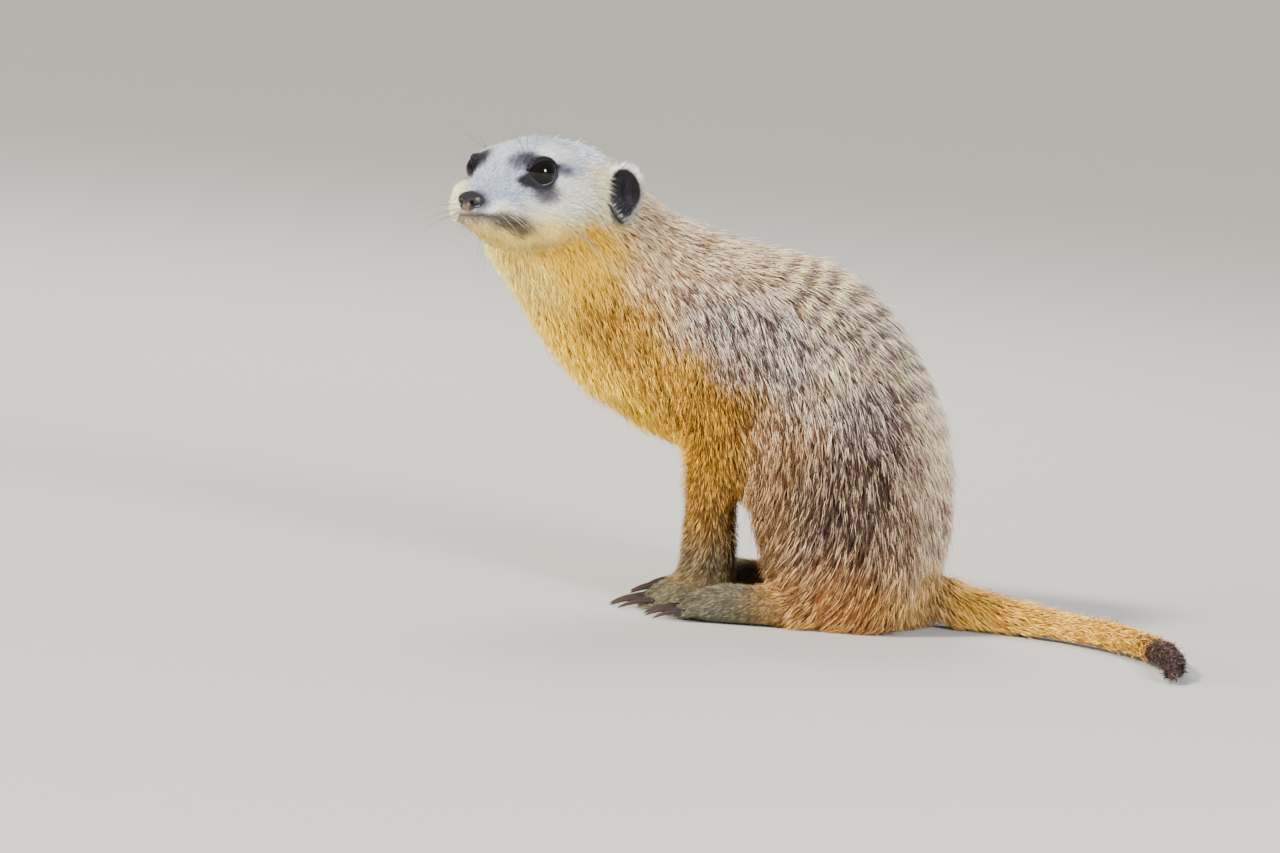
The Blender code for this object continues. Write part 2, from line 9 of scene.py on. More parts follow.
import bmesh
import bpy
import numpy as np
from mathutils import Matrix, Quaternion, Vector
from mathutils.bvhtree import BVHTree
from mathutils.kdtree import KDTree
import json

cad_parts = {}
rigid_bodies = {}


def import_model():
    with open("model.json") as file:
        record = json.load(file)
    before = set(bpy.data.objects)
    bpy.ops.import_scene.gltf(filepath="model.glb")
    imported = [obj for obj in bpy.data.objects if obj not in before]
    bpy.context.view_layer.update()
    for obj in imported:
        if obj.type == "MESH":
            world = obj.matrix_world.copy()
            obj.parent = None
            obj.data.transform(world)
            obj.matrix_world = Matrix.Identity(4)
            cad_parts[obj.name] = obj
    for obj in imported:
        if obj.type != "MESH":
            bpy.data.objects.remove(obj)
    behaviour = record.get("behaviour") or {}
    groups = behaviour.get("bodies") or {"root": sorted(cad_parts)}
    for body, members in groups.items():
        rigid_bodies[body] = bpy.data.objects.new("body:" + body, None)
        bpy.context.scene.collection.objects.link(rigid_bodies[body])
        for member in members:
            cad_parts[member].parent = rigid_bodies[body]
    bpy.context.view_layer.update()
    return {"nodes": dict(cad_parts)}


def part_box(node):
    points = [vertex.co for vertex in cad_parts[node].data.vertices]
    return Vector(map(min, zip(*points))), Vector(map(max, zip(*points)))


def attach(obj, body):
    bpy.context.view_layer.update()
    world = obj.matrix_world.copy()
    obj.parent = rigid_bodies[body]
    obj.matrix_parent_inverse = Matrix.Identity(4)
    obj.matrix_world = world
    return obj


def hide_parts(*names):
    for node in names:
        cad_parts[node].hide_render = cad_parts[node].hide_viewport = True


for left_over in list(bpy.data.objects):
    bpy.data.objects.remove(left_over)
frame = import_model()
MM = 0.001
RNG = np.random.default_rng(17)
SIDES = {"left": -1.0, "right": 1.0}


def corners(solid):
    """The lowest and highest corner of a solid's box."""
    low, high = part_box(solid)
    return np.array(low) / MM, np.array(high) / MM


def middle(solid):
    low, high = corners(solid)
    return (low + high) / 2


def unit(v):
    return v / np.maximum(np.linalg.norm(v, axis=-1, keepdims=True), 1e-9)


def smooth(t):
    t = np.clip(t, 0, 1)
    return t * t * (3 - 2 * t)


def rise(value, start, width):
    """0 up to the start and 1 from a width beyond it."""
    return smooth((value - start) / width)


def fall(value, end, width):
    """1 up to a width before the end and 0 from the end on."""
    return smooth((end - value) / width)


def nearest(points, queries):
    """The number of the point nearest to each query."""
    tree = KDTree(len(points))
    for i, place in enumerate(points.tolist()):
        tree.insert(place, i)
    tree.balance()
    return np.array([tree.find(q)[1] for q in queries.tolist()])


# ---- frames

HEEL_X = 5.64  # where the hind foot leaves the haunch
ORIGIN = np.array(
    [
        corners("hind_foot_left")[1][0] - HEEL_X,
        (corners("hind_foot_left")[0][1] + corners("hind_foot_right")[1][1]) / 2,
        0.0,
    ]
)
NOSE_FROM_EYES = (24.4, -10.1)  # forward and up, from midway between the eyes
EYES_FROM_HEAD = (37.2, 10.5)  # forward and up, from the head's own middle
EYE_RADIUS = 6.1
NOSE_RADII = (4.0, 5.0, 4.1)
NOSE_SHIFT = (0.0, 0.0, -0.5)


def head_frame():
    """The head's middle and its forward, leftward and up axes, found from the eyes and nose."""
    left, right, nose = (middle(n) - ORIGIN for n in ("eye_left", "eye_right", "nose"))
    aside = unit(left - right)
    between = (left + right) / 2
    ahead = nose - between
    ahead = unit(ahead - ahead.dot(aside) * aside)
    upright = np.cross(ahead, aside)
    a, b = NOSE_FROM_EYES
    turn = math.atan2(b, a)
    forward = ahead * math.cos(turn) - upright * math.sin(turn)
    up = ahead * math.sin(turn) + upright * math.cos(turn)
    return between - EYES_FROM_HEAD[0] * forward - EYES_FROM_HEAD[1] * up, np.array([forward, aside, up])


HEAD, HEAD_AXES = head_frame()


def in_head(points):
    """Where design places lie on the head: forward, to the left and up."""
    return (points - HEAD) @ HEAD_AXES.T


def from_head(places):
    return HEAD + np.asarray(places, float) @ HEAD_AXES


# ---- meshes

def vertex_normals(points, tris):
    a, b, c = (points[tris[:, i]] for i in range(3))
    face = np.cross(b - a, c - a)
    total = np.zeros_like(points)
    for axis in range(3):
        for corner in range(3):
            total[:, axis] += np.bincount(tris[:, corner], face[:, axis], len(points))
    return unit(total)


def new_object(name, data):
    obj = bpy.data.objects.new(name, data)
    bpy.context.scene.collection.objects.link(obj)
    return obj


def plain_object(name, points, tris):
    mesh = bpy.data.meshes.new(name)
    mesh.from_pydata((points * MM).tolist(), [], tris.tolist())
    return new_object(name, mesh)


def add_piece(name, points, tris, material, colours, slot, *solids, uvs=None):
    """A piece of the animal from design places, triangles and a colour at each corner.

    Its slot argument, a material slot of the record, is not used. It stands for the solids named, if any.
    """
    mesh = bpy.data.meshes.new(name)
    mesh.vertices.add(len(points))
    mesh.vertices.foreach_set("co", ((points + ORIGIN) * MM).astype(np.float32).ravel())
    mesh.loops.add(tris.size)
    mesh.loops.foreach_set("vertex_index", tris.astype(np.int32).ravel())
    mesh.polygons.add(len(tris))
    mesh.polygons.foreach_set("loop_start", np.arange(0, tris.size, 3, dtype=np.int32))
    mesh.update(calc_edges=True)
    mesh.shade_smooth()
    paint = mesh.color_attributes.new("paint", "FLOAT_COLOR", "POINT")
    rgba = np.ones((len(points), 4), np.float32)
    rgba[:, :3] = np.clip(colours, 0, 1)
    paint.data.foreach_set("color", rgba.ravel())
    if uvs is not None:
        layer = mesh.uv_layers.new(name="OFBake")
        layer.uv.foreach_set("vector", uvs.astype(np.float32).ravel())
    mesh.materials.append(material)
    obj = new_object(name, mesh)
    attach(obj, "root")
    if solids:
        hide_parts(*solids)
    print(f"{name}: {len(tris)} triangles")


def read_mesh(mesh):
    mesh.calc_loop_triangles()
    points = np.empty(len(mesh.vertices) * 3)
    mesh.vertices.foreach_get("co", points)
    tris = np.empty(len(mesh.loop_triangles) * 3, np.int32)
    mesh.loop_triangles.foreach_get("vertices", tris)
    return points.reshape(-1, 3) / MM - ORIGIN, tris.reshape(-1, 3)


def grid(rows, columns):
    """Triangles over rows of corners that go round."""
    tris = []
    for r in range(rows - 1):
        for c in range(columns):
            n = (c + 1) % columns
            a, b, d, e = r * columns + c, r * columns + n, (r + 1) * columns + n, (r + 1) * columns + c
            tris += [(a, b, d), (a, d, e)]
    return np.array(tris)


def capped(rows, columns):
    """The grid's triangles, with both ends closed by a fan about their first corner."""
    last = (rows - 1) * columns
    ends = [(0, c + 1, c) for c in range(1, columns - 1)]
    ends += [(last, last + c, last + c + 1) for c in range(1, columns - 1)]
    return np.concatenate([grid(rows, columns), np.array(ends)])


def circle(count):
    """Cosines and sines of evenly spaced angles all round."""
    angle = np.arange(count) * math.tau / count
    return np.cos(angle), np.sin(angle)


def ball(rows, columns):
    """Corners of a unit ball in rows from its upper pole down, and each one's angle from that pole."""
    tilt = np.linspace(0.002, math.pi - 0.002, rows)
    c, s = circle(columns)
    layers = [np.outer(np.sin(tilt), c), np.outer(np.sin(tilt), s), np.outer(np.cos(tilt), np.ones(columns))]
    return np.stack(layers, 2).reshape(-1, 3), np.repeat(tilt, columns)


def facing_out(points, tris, centre):
    """The triangles, turned round if they face the centre."""
    a, b, c = (points[tris[:, i]] - centre for i in range(3))
    inward = (np.cross(b - a, c - a) * (a + b + c)).sum() < 0
    return tris[:, ::-1] if inward else tris


def combined(parts):
    """Several (points, tris) as one."""
    points, tris, start = [], [], 0
    for p, t in parts:
        points.append(p)
        tris.append(t + start)
        start += len(p)
    return np.concatenate(points), np.concatenate(tris)


# ---- materials

def node(material, kind, **inputs):
    """A new shader node with some of its inputs set."""
    return set_inputs(material.node_tree.nodes.new("ShaderNode" + kind), inputs)


def set_inputs(made, inputs):
    for name, value in inputs.items():
        made.inputs[name.replace("_", " ")].default_value = value
    return made


def new_material(name, **inputs):
    material = bpy.data.materials.new(name)
    material.use_nodes = True
    return material, set_inputs(material.node_tree.nodes["Principled BSDF"], inputs)


def wire(material, *pairs):
    for source, target in pairs:
        material.node_tree.links.new(source, target)


SHADES = (0.86, 1.1)  # how far the grain darkens and lightens a colour
LOOKS = (  # name, roughness and its spread, grain, bump's strength and depth, specular, sheen, clear coat
    ("skin", 0.72, 0.12, 900, 0.5, 0.25, 0.22, 0, 0),
    ("coat", 0.52, 0.12, 1400, 0.2, 0.08, 0.26, 0.04, 0),
    ("eye", 0.06, 0.02, 500, 0.01, 0.01, 0.30, 0, 0),
    ("nose", 0.36, 0.10, 1500, 0.7, 0.22, 0.5, 0, 0.12),
    ("claw", 0.48, 0.10, 700, 0.25, 0.1, 0.32, 0, 0),
    ("whisker", 0.35, 0.08, 600, 0.1, 0.02, 0.4, 0, 0),
)


def painted(name, roughness, spread, grain, strength, distance, specular, sheen, clear):
    """A material coloured by the mesh's paint, with a grain in its bump, roughness and shade."""
    material, shader = new_material(name, Specular_IOR_Level=specular, Sheen_Weight=sheen,
                                    Sheen_Roughness=0.4, Coat_Weight=clear, Coat_Roughness=0.04)
    paint = node(material, "Attribute")
    paint.attribute_name = "paint"
    place = node(material, "TexCoord")
    noise = node(material, "TexNoise", Scale=grain, Detail=5.0)
    rough = node(material, "MapRange", To_Min=roughness - spread, To_Max=roughness + spread)
    shade = node(material, "MapRange", To_Min=SHADES[0], To_Max=SHADES[1])
    tint = node(material, "VectorMath")
    tint.operation = "SCALE"
    bump = node(material, "Bump", Strength=strength, Distance=distance * MM)
    fac = noise.outputs["Fac"]
    wire(
        material,
        (place.outputs["Object"], noise.inputs["Vector"]),
        (fac, rough.inputs["Value"]),
        (fac, shade.inputs["Value"]),
        (fac, bump.inputs["Height"]),
        (rough.outputs["Result"], shader.inputs["Roughness"]),
        (paint.outputs["Color"], tint.inputs[0]),
        (shade.outputs["Result"], tint.inputs["Scale"]),
        (tint.outputs["Vector"], shader.inputs["Base Color"]),
        (bump.outputs["Normal"], shader.inputs["Normal"]),
    )
    return material


# ---- the skin's shape

LIMBS = ("upper_arm", "forearm", "forefoot", "thigh", "hind_foot")
FLESH = {  # how far the skin lies inside the coat's outline, then the hair: tufts to a square millimetre,
    # length, width, lift off the skin in degrees and pull into strands
    "abdomen": (4.4, 2.08, 9.5, 0.31, 18, 0.46),
    "chest": (4.4, 2.05, 8.8, 0.3, 19, 0.4),
    "neck": (4.0, 3.2, 6.6, 0.25, 18, 0.26),
    "head": (2.2, 3.3, 3.6, 0.24, 17, 0.15),
    "lower_jaw": (1.3, 3.2, 3.4, 0.29, 22, 0.1),
    "upper_arm": (3.2, 2.4, 5.4, 0.31, 23, 0.28),
    "forearm": (2.0, 3.2, 4.1, 0.28, 26, 0.16),
    "forefoot": (0.9, 4.6, 2.4, 0.25, 17, 0.1),
    "thigh": (4.4, 2.08, 10.0, 0.31, 19, 0.46),
    "hind_foot": (1.0, 4.0, 2.7, 0.26, 18, 0.1),
    "tail_base": (2.2, 2.6, 7.5, 0.36, 19, 0.3),
    "tail_middle": (1.9, 2.8, 5.4, 0.34, 15, 0.25),
    "tail_tip": (1.6, 3.0, 4.8, 0.3, 10, 0.25),
}
PARTS = list(FLESH)
NODES = {  # the part of the flesh that each solid belongs to
    part + end: part for part in PARTS for end in (("_left", "_right") if part in LIMBS else ("",))
}
FACE_DEPTHS = ((-15, 5, 25, 42, 55, 62), (3.8, 3.4, 2.3, 1.4, 1.0, 0.7))  # forward, and depth there
SWELL = 0.36  # closes the thin cuts between the solids
SKIN_GRAIN = 1.3
SOFT_EDGES = 45  # how widely the markings of neighbouring parts run into each other
FACE_FROM = 24.0  # how far forward on the head the skin's mesh is finer
TOES_FROM = -22.0  # and before which x it is finer on the feet
MOUTH = ((65, -4.6), (61.5, -4.9), (57.5, -5.6), (52.7, -7.1), (47.5, -8.5), (42, -10.3))  # forward and up
MOUTH_DEPTH = 1.0
MOUTH_WIDTH = 0.65
NOSE_SHRINK = 1.3  # how much deeper the skin lies behind the nose
TOE_LENGTH = 11.0
TOE_GAP = (2.8, 1.15)  # depth and width of the groove between two toes
TOE_FAN = 0.024  # how much the toes draw together for each millimetre back from the claws


def between_toes(points):
    """How near each place on the feet is to a groove between two toes, from 0 to 1."""
    near = np.zeros(len(points))
    for kind in ("fore", "hind"):
        for side in SIDES:
            claws = np.array([middle(f"claw_{kind}_{side}_{n}") - ORIGIN for n in (1, 2, 3, 4)])
            centre = claws[:, 1].mean()
            for a, b in zip(claws, claws[1:]):
                root = max(a[0], b[0]) + 4
                fan = 1 - TOE_FAN * np.clip(points[:, 0] - root, 0, 20)
                away = points[:, 1] - centre - ((a[1] + b[1]) / 2 - centre) * fan
                reach = fall(points[:, 0], root + TOE_LENGTH, 5) * rise(points[:, 0] - a[0], -12, 4)
                near = np.maximum(near, np.exp(-((away / TOE_GAP[1]) ** 2)) * reach)
    return near


def from_mouth(places):
    """How far each head place is from the line of the mouth, seen from the side."""
    return from_line(places[:, [0, 2]], MOUTH)


def flesh():
    """All flesh solids as one set of triangles, a little swollen, and the node of each triangle.

    The eyes and nose are in it too, so that the skin is unbroken behind them.
    """
    parts, owner = [], []
    names = list(NODES)
    for name in [*names, "eye_left", "eye_right", "nose"]:
        number = names.index(name if name in names else "head")
        points, tris = read_mesh(frame["nodes"][name].data)
        parts.append((points + SWELL * vertex_normals(points, tris), tris))
        owner += [number] * len(tris)
    return *combined(parts), np.array(owner)


def evened(points, tris):
    """One smooth surface round what overlaps, finer on the face."""
    obj = plain_object("flesh", points, tris)
    fuse = obj.modifiers.new("fuse", "REMESH")
    fuse.mode = "VOXEL"
    fuse.voxel_size = SKIN_GRAIN * MM
    even = obj.modifiers.new("even", "SMOOTH")
    even.iterations = 7
    graph = bpy.context.evaluated_depsgraph_get()
    bm = bmesh.new()
    bm.from_object(obj, graph)
    bpy.data.objects.remove(obj)

    def on_face(vert):
        place = np.array(vert.co) / MM
        f, s, u = in_head(place)
        toes = place[2] < 12 and place[0] < TOES_FROM
        return toes or (f > FACE_FROM and abs(s) < 30 and abs(u) < 35)

    face = {v for v in bm.verts if on_face(v)}
    edges = [e for e in bm.edges if e.verts[0] in face and e.verts[1] in face]
    bmesh.ops.subdivide_edges(bm, edges=edges, cuts=1, use_grid_fill=True)
    bmesh.ops.triangulate(bm, faces=bm.faces)
    points = np.array([v.co for v in bm.verts]) / MM
    tris = np.array([[v.index for v in f.verts] for f in bm.faces])
    bm.free()
    return points, tris


def spread_over(values, tris, passes):
    """Averages each corner's values with its neighbours', several times."""
    pairs = np.concatenate([tris[:, [0, 1]], tris[:, [1, 2]], tris[:, [2, 0]]])
    size = len(values)
    share = np.bincount(pairs[:, 0], minlength=size) + np.bincount(pairs[:, 1], minlength=size)
    flat = values.reshape(size, -1).astype(float)
    for _ in range(passes):
        fresh = np.empty_like(flat)
        for k in range(flat.shape[1]):
            column = flat[:, k]
            near = np.bincount(pairs[:, 0], column[pairs[:, 1]], size)
            near += np.bincount(pairs[:, 1], column[pairs[:, 0]], size)
            fresh[:, k] = 0.5 * column + 0.5 * near / np.maximum(share, 1)
        flat = fresh
    return flat.reshape(values.shape)


def from_line(places, line):
    """How far each place is from a line of points."""
    least = np.full(len(places), 1e9)
    for a, b in zip(np.asarray(line[:-1], float), np.asarray(line[1:], float)):
        along = b - a
        t = np.clip((places - a) @ along / along.dot(along), 0, 1)
        least = np.minimum(least, np.linalg.norm(places - a - t[:, None] * along, axis=1))
    return least


def folded(places):
    """Head places with both sides on the outward side."""
    return places * [1, 0, 1] + np.abs(places) * [0, 1, 0]


def nose_middle():
    return in_head((middle("nose") - ORIGIN)[None])[0] * [1, 0, 1] + NOSE_SHIFT


def patch(places, centre, radii, soft=0.30):
    """1 well inside an ellipsoid and 0 well outside it."""
    reach = np.sqrt((((places - centre) / radii) ** 2).sum(1))
    return 1 - rise(reach + soft, 1, 2 * soft)


def make_skin():
    """The skin's corners and triangles, the flesh part of each corner, and its share of each part."""
    points, tris, owner = flesh()
    tree = BVHTree.FromPolygons(points.tolist(), tris.tolist())
    skin, faces = evened(points, tris)
    names = list(NODES.values())
    part = np.array([PARTS.index(names[owner[tree.find_nearest(p)[2]]]) for p in skin.tolist()])
    depth = np.array([FLESH[n][0] for n in PARTS])[part]
    places = folded(in_head(skin))
    face = part == PARTS.index("head")
    depth[face] = np.interp(places[face, 0], *FACE_DEPTHS)
    depth = spread_over(depth, faces, 14)
    depth += MOUTH_DEPTH * np.exp(-((from_mouth(places) / MOUTH_WIDTH) ** 2)) * (places[:, 0] > 35)
    depth += NOSE_SHRINK * patch(places, nose_middle(), (5.6, 6.8, 5.6), 0.4)
    foot = np.isin(part, [PARTS.index("forefoot"), PARTS.index("hind_foot")])
    depth += TOE_GAP[0] * foot * between_toes(skin)
    skin = skin - vertex_normals(skin, faces) * depth[:, None]
    skin = spread_over(skin, faces, 2)
    skin[:, 2] = np.maximum(skin[:, 2], 0.4)
    share = spread_over(np.eye(len(PARTS))[part], faces, SOFT_EDGES)
    return skin, faces, part, share


# ---- eyelids and eyes

GAZE = unit(np.array([0.53, 0.84, 0.02]))  # forward, outward, up
OPENING = (math.radians(71), math.radians(42))  # half width and half height, seen from the eye's middle
OPENING_TILT = math.radians(15)
EYE_SHIFT = (0.1, -0.3, -0.8)  # where the eyeball sits from its solid's middle: forward, outward, up
CORNEA = (0.05, 0.62)  # how much the eye bulges ahead, and how widely
EYE_GRID = (40, 64)  # rows and columns of its corners
PUPIL = 0.0008
EYE_RINGS = (  # the iris, its edge and the white, each from an angle off the gaze
    (0.42, (0.0018, 0.0013, 0.0012)), (0.64, (0.0020, 0.0014, 0.0012)), (0.82, (0.0010, 0.0009, 0.0010)),
)
LID_COLUMNS = 72
# the corner colour is the wet inner corner's pale membrane with a painted highlight on it
LID_BLACK, LID_LINE, LID_CORNER_GLINT = (0.004, 0.0035, 0.005), (0.10, 0.115, 0.165), (0.50, 0.48, 0.50)
LID_RINGS = ((0.0, -0.25), (0.0, 0.30), (3.0, 0.62), (10.0, 0.72), (19.0, 0.60), (30.0, 0.25), (44.0, -0.8))


def eye_middle(side):
    solid = in_head((middle(f"eye_{'left' if side < 0 else 'right'}") - ORIGIN)[None])[0]
    return solid + np.array(EYE_SHIFT) * [1, -side, 1]


def eye_axes():
    """The gaze, and the directions toward the outer corner and up, in head places of one side."""
    up = unit(np.array([0.0, 0.0, 1.0]) - GAZE[2] * GAZE)
    back = np.cross(GAZE, up)
    back = back if back[0] < 0 else -back
    turn, c = math.sin(OPENING_TILT), math.cos(OPENING_TILT)
    return GAZE, back * c + up * turn, up * c - back * turn


def eye_angles(places):
    """Seen from the eye's middle: angles toward the outer corner and up, whether ahead, and the distance."""
    gaze, back, up = eye_axes()
    away = places - folded(eye_middle(-1.0)[None])[0]
    way = unit(away)
    across, high = np.arctan2(way @ back, way @ gaze), np.arctan2(way @ up, way @ gaze)
    return across, high, way @ gaze > 0, np.linalg.norm(away, axis=1)


def mirrored(places, outward):
    return places * [1, outward, 1]


def lids():
    """Both pairs of eyelids: shells on the eyeball with an almond opening and a rolled rim."""
    gaze, back, up = eye_axes()
    parts = []
    c, s = circle(LID_COLUMNS)
    pointed = np.abs(s) ** 1.25 * np.sign(s)
    open_across, open_up = OPENING[0] * c, OPENING[1] * pointed
    reach = np.hypot(open_across, open_up)
    around = np.stack([open_across / reach, open_up / reach], axis=1)
    for outward in (1.0, -1.0):
        rows = []
        for further, height in LID_RINGS:
            tilt = reach + math.radians(further)
            side = around[:, :1] * back + around[:, 1:] * up
            way = np.cos(tilt)[:, None] * gaze + np.sin(tilt)[:, None] * side
            rows.append(way * (EYE_RADIUS + height))
        rows = mirrored(np.concatenate(rows), outward)
        tris = facing_out(rows, grid(len(LID_RINGS), LID_COLUMNS), 0)
        parts.append((from_head(rows + eye_middle(-outward)), tris))
    return combined(parts)


def lid_colours(beyond):
    """Black lids with a thin pale line along the lower one and a pale wet inner corner with a painted
    highlight, which fade into the colours of the skin.
    """
    ring = np.tile(np.repeat(np.arange(len(LID_RINGS)), LID_COLUMNS), 2)
    angle = np.tile(np.arange(LID_COLUMNS) * math.tau / LID_COLUMNS, 2 * len(LID_RINGS))
    line = (ring < 2) * fall(np.sin(angle), -0.05, 0.35) * (0.6 - 0.4 * np.cos(angle))
    # the inner corner: pale wet membrane with a painted highlight
    corner = (ring < 4) * fall(np.cos(angle + 0.16), -0.93, 0.04)
    fade = rise(ring, 4, 2)
    rim = np.array(LID_BLACK) + line[:, None] * np.array(LID_LINE) + corner[:, None] * np.array(LID_CORNER_GLINT)
    return blended(rim, beyond, fade)


def make_eyes(material):
    gaze = eye_axes()[0]
    rows, columns = EYE_GRID
    places, tilt = ball(rows, columns)
    places = places * (1 + CORNEA[0] * np.exp(-((tilt / CORNEA[1]) ** 2)))[:, None] * EYE_RADIUS
    colours = np.full((len(places), 3), PUPIL)
    for from_tilt, colour in EYE_RINGS:
        colours[tilt > from_tilt] = colour
    for name, side in SIDES.items():
        ahead = np.array(Vector(mirrored(gaze, -side)).to_track_quat("Z", "Y").to_matrix())
        turned = from_head(places @ ahead.T + eye_middle(side))
        tris = capped(rows, columns)
        add_piece(f"eyeball_{name}", turned, tris, material, colours, "eye", f"eye_{name}")


# ---- ears

EAR_REACH = {"half": 7.3, "top": 9.0, "bottom": 11.6}
EAR_FACING = (0.46, 0.86, 0.20)
EAR_PROFILE = (
    (0.02, -6.4), (0.25, -6.4), (0.6, -5.6), (0.88, -4.2), (0.99, -2.4), (1.0, -1.4), (0.92, -0.9),
    (0.84, -1.5), (0.66, -3.2), (0.38, -4.3), (0.14, -4.7), (0.02, -4.7),
)
EAR_MIDDLE, EAR_UPRIGHT = (2.0, 25.0, 0.5), (-0.12, 0, 1)
EAR_BLACK = (0.010, 0.008, 0.010)
EAR_STEPS = 3
EAR_COLUMNS = 56


def ear_shape(side):
    """An ear's corners and triangles, and how far each corner is along the profile from back to front."""
    facing = unit(np.array(EAR_FACING) * [1, -side, 1])
    upright = unit(np.array(EAR_UPRIGHT) - facing * (np.array(EAR_UPRIGHT) @ facing))
    across = np.cross(upright, facing)
    keys = np.array(EAR_PROFILE)
    t = np.linspace(0, len(keys) - 1, (len(keys) - 1) * EAR_STEPS + 1)
    reach = np.interp(t, np.arange(len(keys)), keys[:, 0])
    height = np.interp(t, np.arange(len(keys)), keys[:, 1])
    for _ in range(2):
        height[1:-1] = (height[:-2] + 2 * height[1:-1] + height[2:]) / 4
        reach[1:-1] = (reach[:-2] + 2 * reach[1:-1] + reach[2:]) / 4
    c, s = circle(EAR_COLUMNS)
    a = EAR_REACH["half"] * c * np.where(s > 0, 1, 1 - 0.55 * s * s)
    b = np.where(s > 0, EAR_REACH["top"], EAR_REACH["bottom"]) * s
    front = np.repeat(rise(t, 6.5, 1.5), EAR_COLUMNS)
    places = np.stack([np.outer(reach, a), np.outer(reach, b), np.outer(height, np.ones(EAR_COLUMNS))], 2)
    places = places.reshape(-1, 3)
    fold = np.exp(-(((places[:, 0] - 2.2) / 1.1) ** 2 + ((places[:, 1] - 1.5) / 4.5) ** 2))
    places[:, 2] += front * 1.3 * fold
    world = from_head(np.array(EAR_MIDDLE) * [1, -side, 1] + places @ np.array([across, upright, facing]))
    tris = facing_out(world, capped(len(t), EAR_COLUMNS), world.mean(0))
    return world, tris, np.repeat(t, EAR_COLUMNS)


# ---- nose

# the second colour is painted shade inside the nostrils and their slits
NOSE_BLACK, NOSE_HOLE_SHADE, NOSE_PINK = (0.011, 0.010, 0.012), (0.004, 0.003, 0.003), (0.15, 0.080, 0.045)
NOSE_GRID = (72, 96)
NOSE_DENTS = (  # nostril, its slit and the wing over it: outward, up, width, height, and how far back it goes
    (0.46, 0.02, 0.17, 0.22, 0), (0.78, -0.16, 0.22, 0.10, -0.3), (0.62, 0.42, 0.3, 0.22, 0),
)


def blended(a, b, share):
    """Colours from a to b by the share at each place."""
    return a + (np.asarray(b) - a) * np.reshape(share, (-1, 1))


def make_nose(material):
    rows, columns = NOSE_GRID
    pad = ball(rows, columns)[0][:, ::-1]
    f, s, u = pad.T
    out = np.abs(s)
    places = np.sign(pad) * np.abs(pad) ** 0.95 * NOSE_RADII
    places[:, 1] *= 1 + 0.14 * u
    pit, slit, wing = (
        np.exp(-(((out - at_out) / wide) ** 2 + ((u - at_up) / tall) ** 2)) * (f > back)
        for at_out, at_up, wide, tall, back in NOSE_DENTS
    )
    groove = np.exp(-((s / 0.07) ** 2)) * fall(u, 0.35, 0.5) * (f > 0)
    places -= pad * (1.7 * pit + 0.9 * slit + 0.55 * groove - 0.35 * wing)[:, None] * [1.2, 0.7, 1]
    # painted shade: the nostrils and slits darker than the rest of the pad
    colours = blended(np.array(NOSE_BLACK), NOSE_HOLE_SHADE, np.clip(pit + slit, 0, 1))
    colours = blended(colours, NOSE_PINK, np.exp(-((s / 0.24) ** 2)) * fall(u, 0.12, 0.4) * (f > 0))
    places = from_head(places + nose_middle())
    add_piece("nose_pad", places, capped(rows, columns), material, colours, "nose", "nose")


# ---- claws and whiskers

def tube(path, radii, sides, flat=1.0):
    """A tube about a path, its sections flattened sideways."""
    along = unit(np.gradient(path, axis=0))
    aside = unit(np.cross(along, [0.02, 0.03, 1.0]))
    over = np.cross(aside, along)
    c, s = circle(sides)
    rings = [p + r * (flat * np.outer(c, a) + np.outer(s, o)) for p, r, a, o in zip(path, radii, aside, over)]
    return np.concatenate(rings), capped(len(path), sides)


CLAW_ROOT, CLAW_POINT = (0.012, 0.009, 0.008), (0.036, 0.025, 0.020)
CLAW_STEPS, CLAW_SIDES = 14, 12
CLAW_THICKNESS = 0.24  # of its solid's height
CLAW_STRAIGHT = 0.12  # share of its length before it curves down
CLAW_FLAT = 0.72  # its width over its height


def make_claws(material):
    """Every claw curved over its solid, darkest at its root."""
    for name in sorted(n for n in frame["nodes"] if n.startswith("claw")):
        low, high = (c - ORIGIN for c in corners(name))
        t = np.linspace(0, 1, CLAW_STEPS)
        x = high[0] + (low[0] - high[0]) * t
        y = np.full(CLAW_STEPS, (low[1] + high[1]) / 2)
        thick = (high[2] - low[2]) * CLAW_THICKNESS
        drop = high[2] - low[2] - thick * 1.1
        z = high[2] - thick - drop * np.clip((t - CLAW_STRAIGHT) / (1 - CLAW_STRAIGHT), 0, 1) ** 1.9
        radii = thick * (1 - 0.45 * t) * np.sqrt(1 - t**3) + 0.08
        points, tris = tube(np.stack([x, y, z], 1), radii, CLAW_SIDES, CLAW_FLAT)
        colours = blended(np.array(CLAW_ROOT), CLAW_POINT, np.repeat(t, CLAW_SIDES))
        add_piece(f"horn_{name}", points, tris, material, colours, "claw", name)


WHISKERS = [  # root and way (forward, outward, up), length and droop: three rows of four on the lip,
    ((56 - 2.2 * k, 8.6 + 0.7 * k, -1.5 - 1.5 * r), (0.42 - 0.16 * k, 0.95, 0.05 - 0.16 * r),
     18.6 + 3.0 * k - 2.2 * r, 4)
    for k in range(4) for r in range(3)
] + [  # three on the brow, two on the cheek, one on the chin, and three long ones on the jaw
    ((40, 9.5, 18), (0.55, 0.35, 1.0), 19, -2), ((38, 11, 18), (0.35, 0.5, 1.0), 21, -3),
    ((41, 8.5, 17.5), (0.95, 0.3, 0.6), 21, -2), ((22, 21, -4), (0.1, 1.0, -0.5), 22, 6),
    ((26, 19, -7), (0.2, 0.9, -0.7), 20, 6), ((50, 3, -11), (0.5, 0.3, -1.0), 14, -3),
    *(((27 - 3 * k, 20, -11 - k), (-0.35, 0.62, -0.72), 27 - 3 * k, 5) for k in range(3)),
]
WHISKER_THICKNESS = 0.13
WHISKER_GREY = (0.20, 0.17, 0.14)


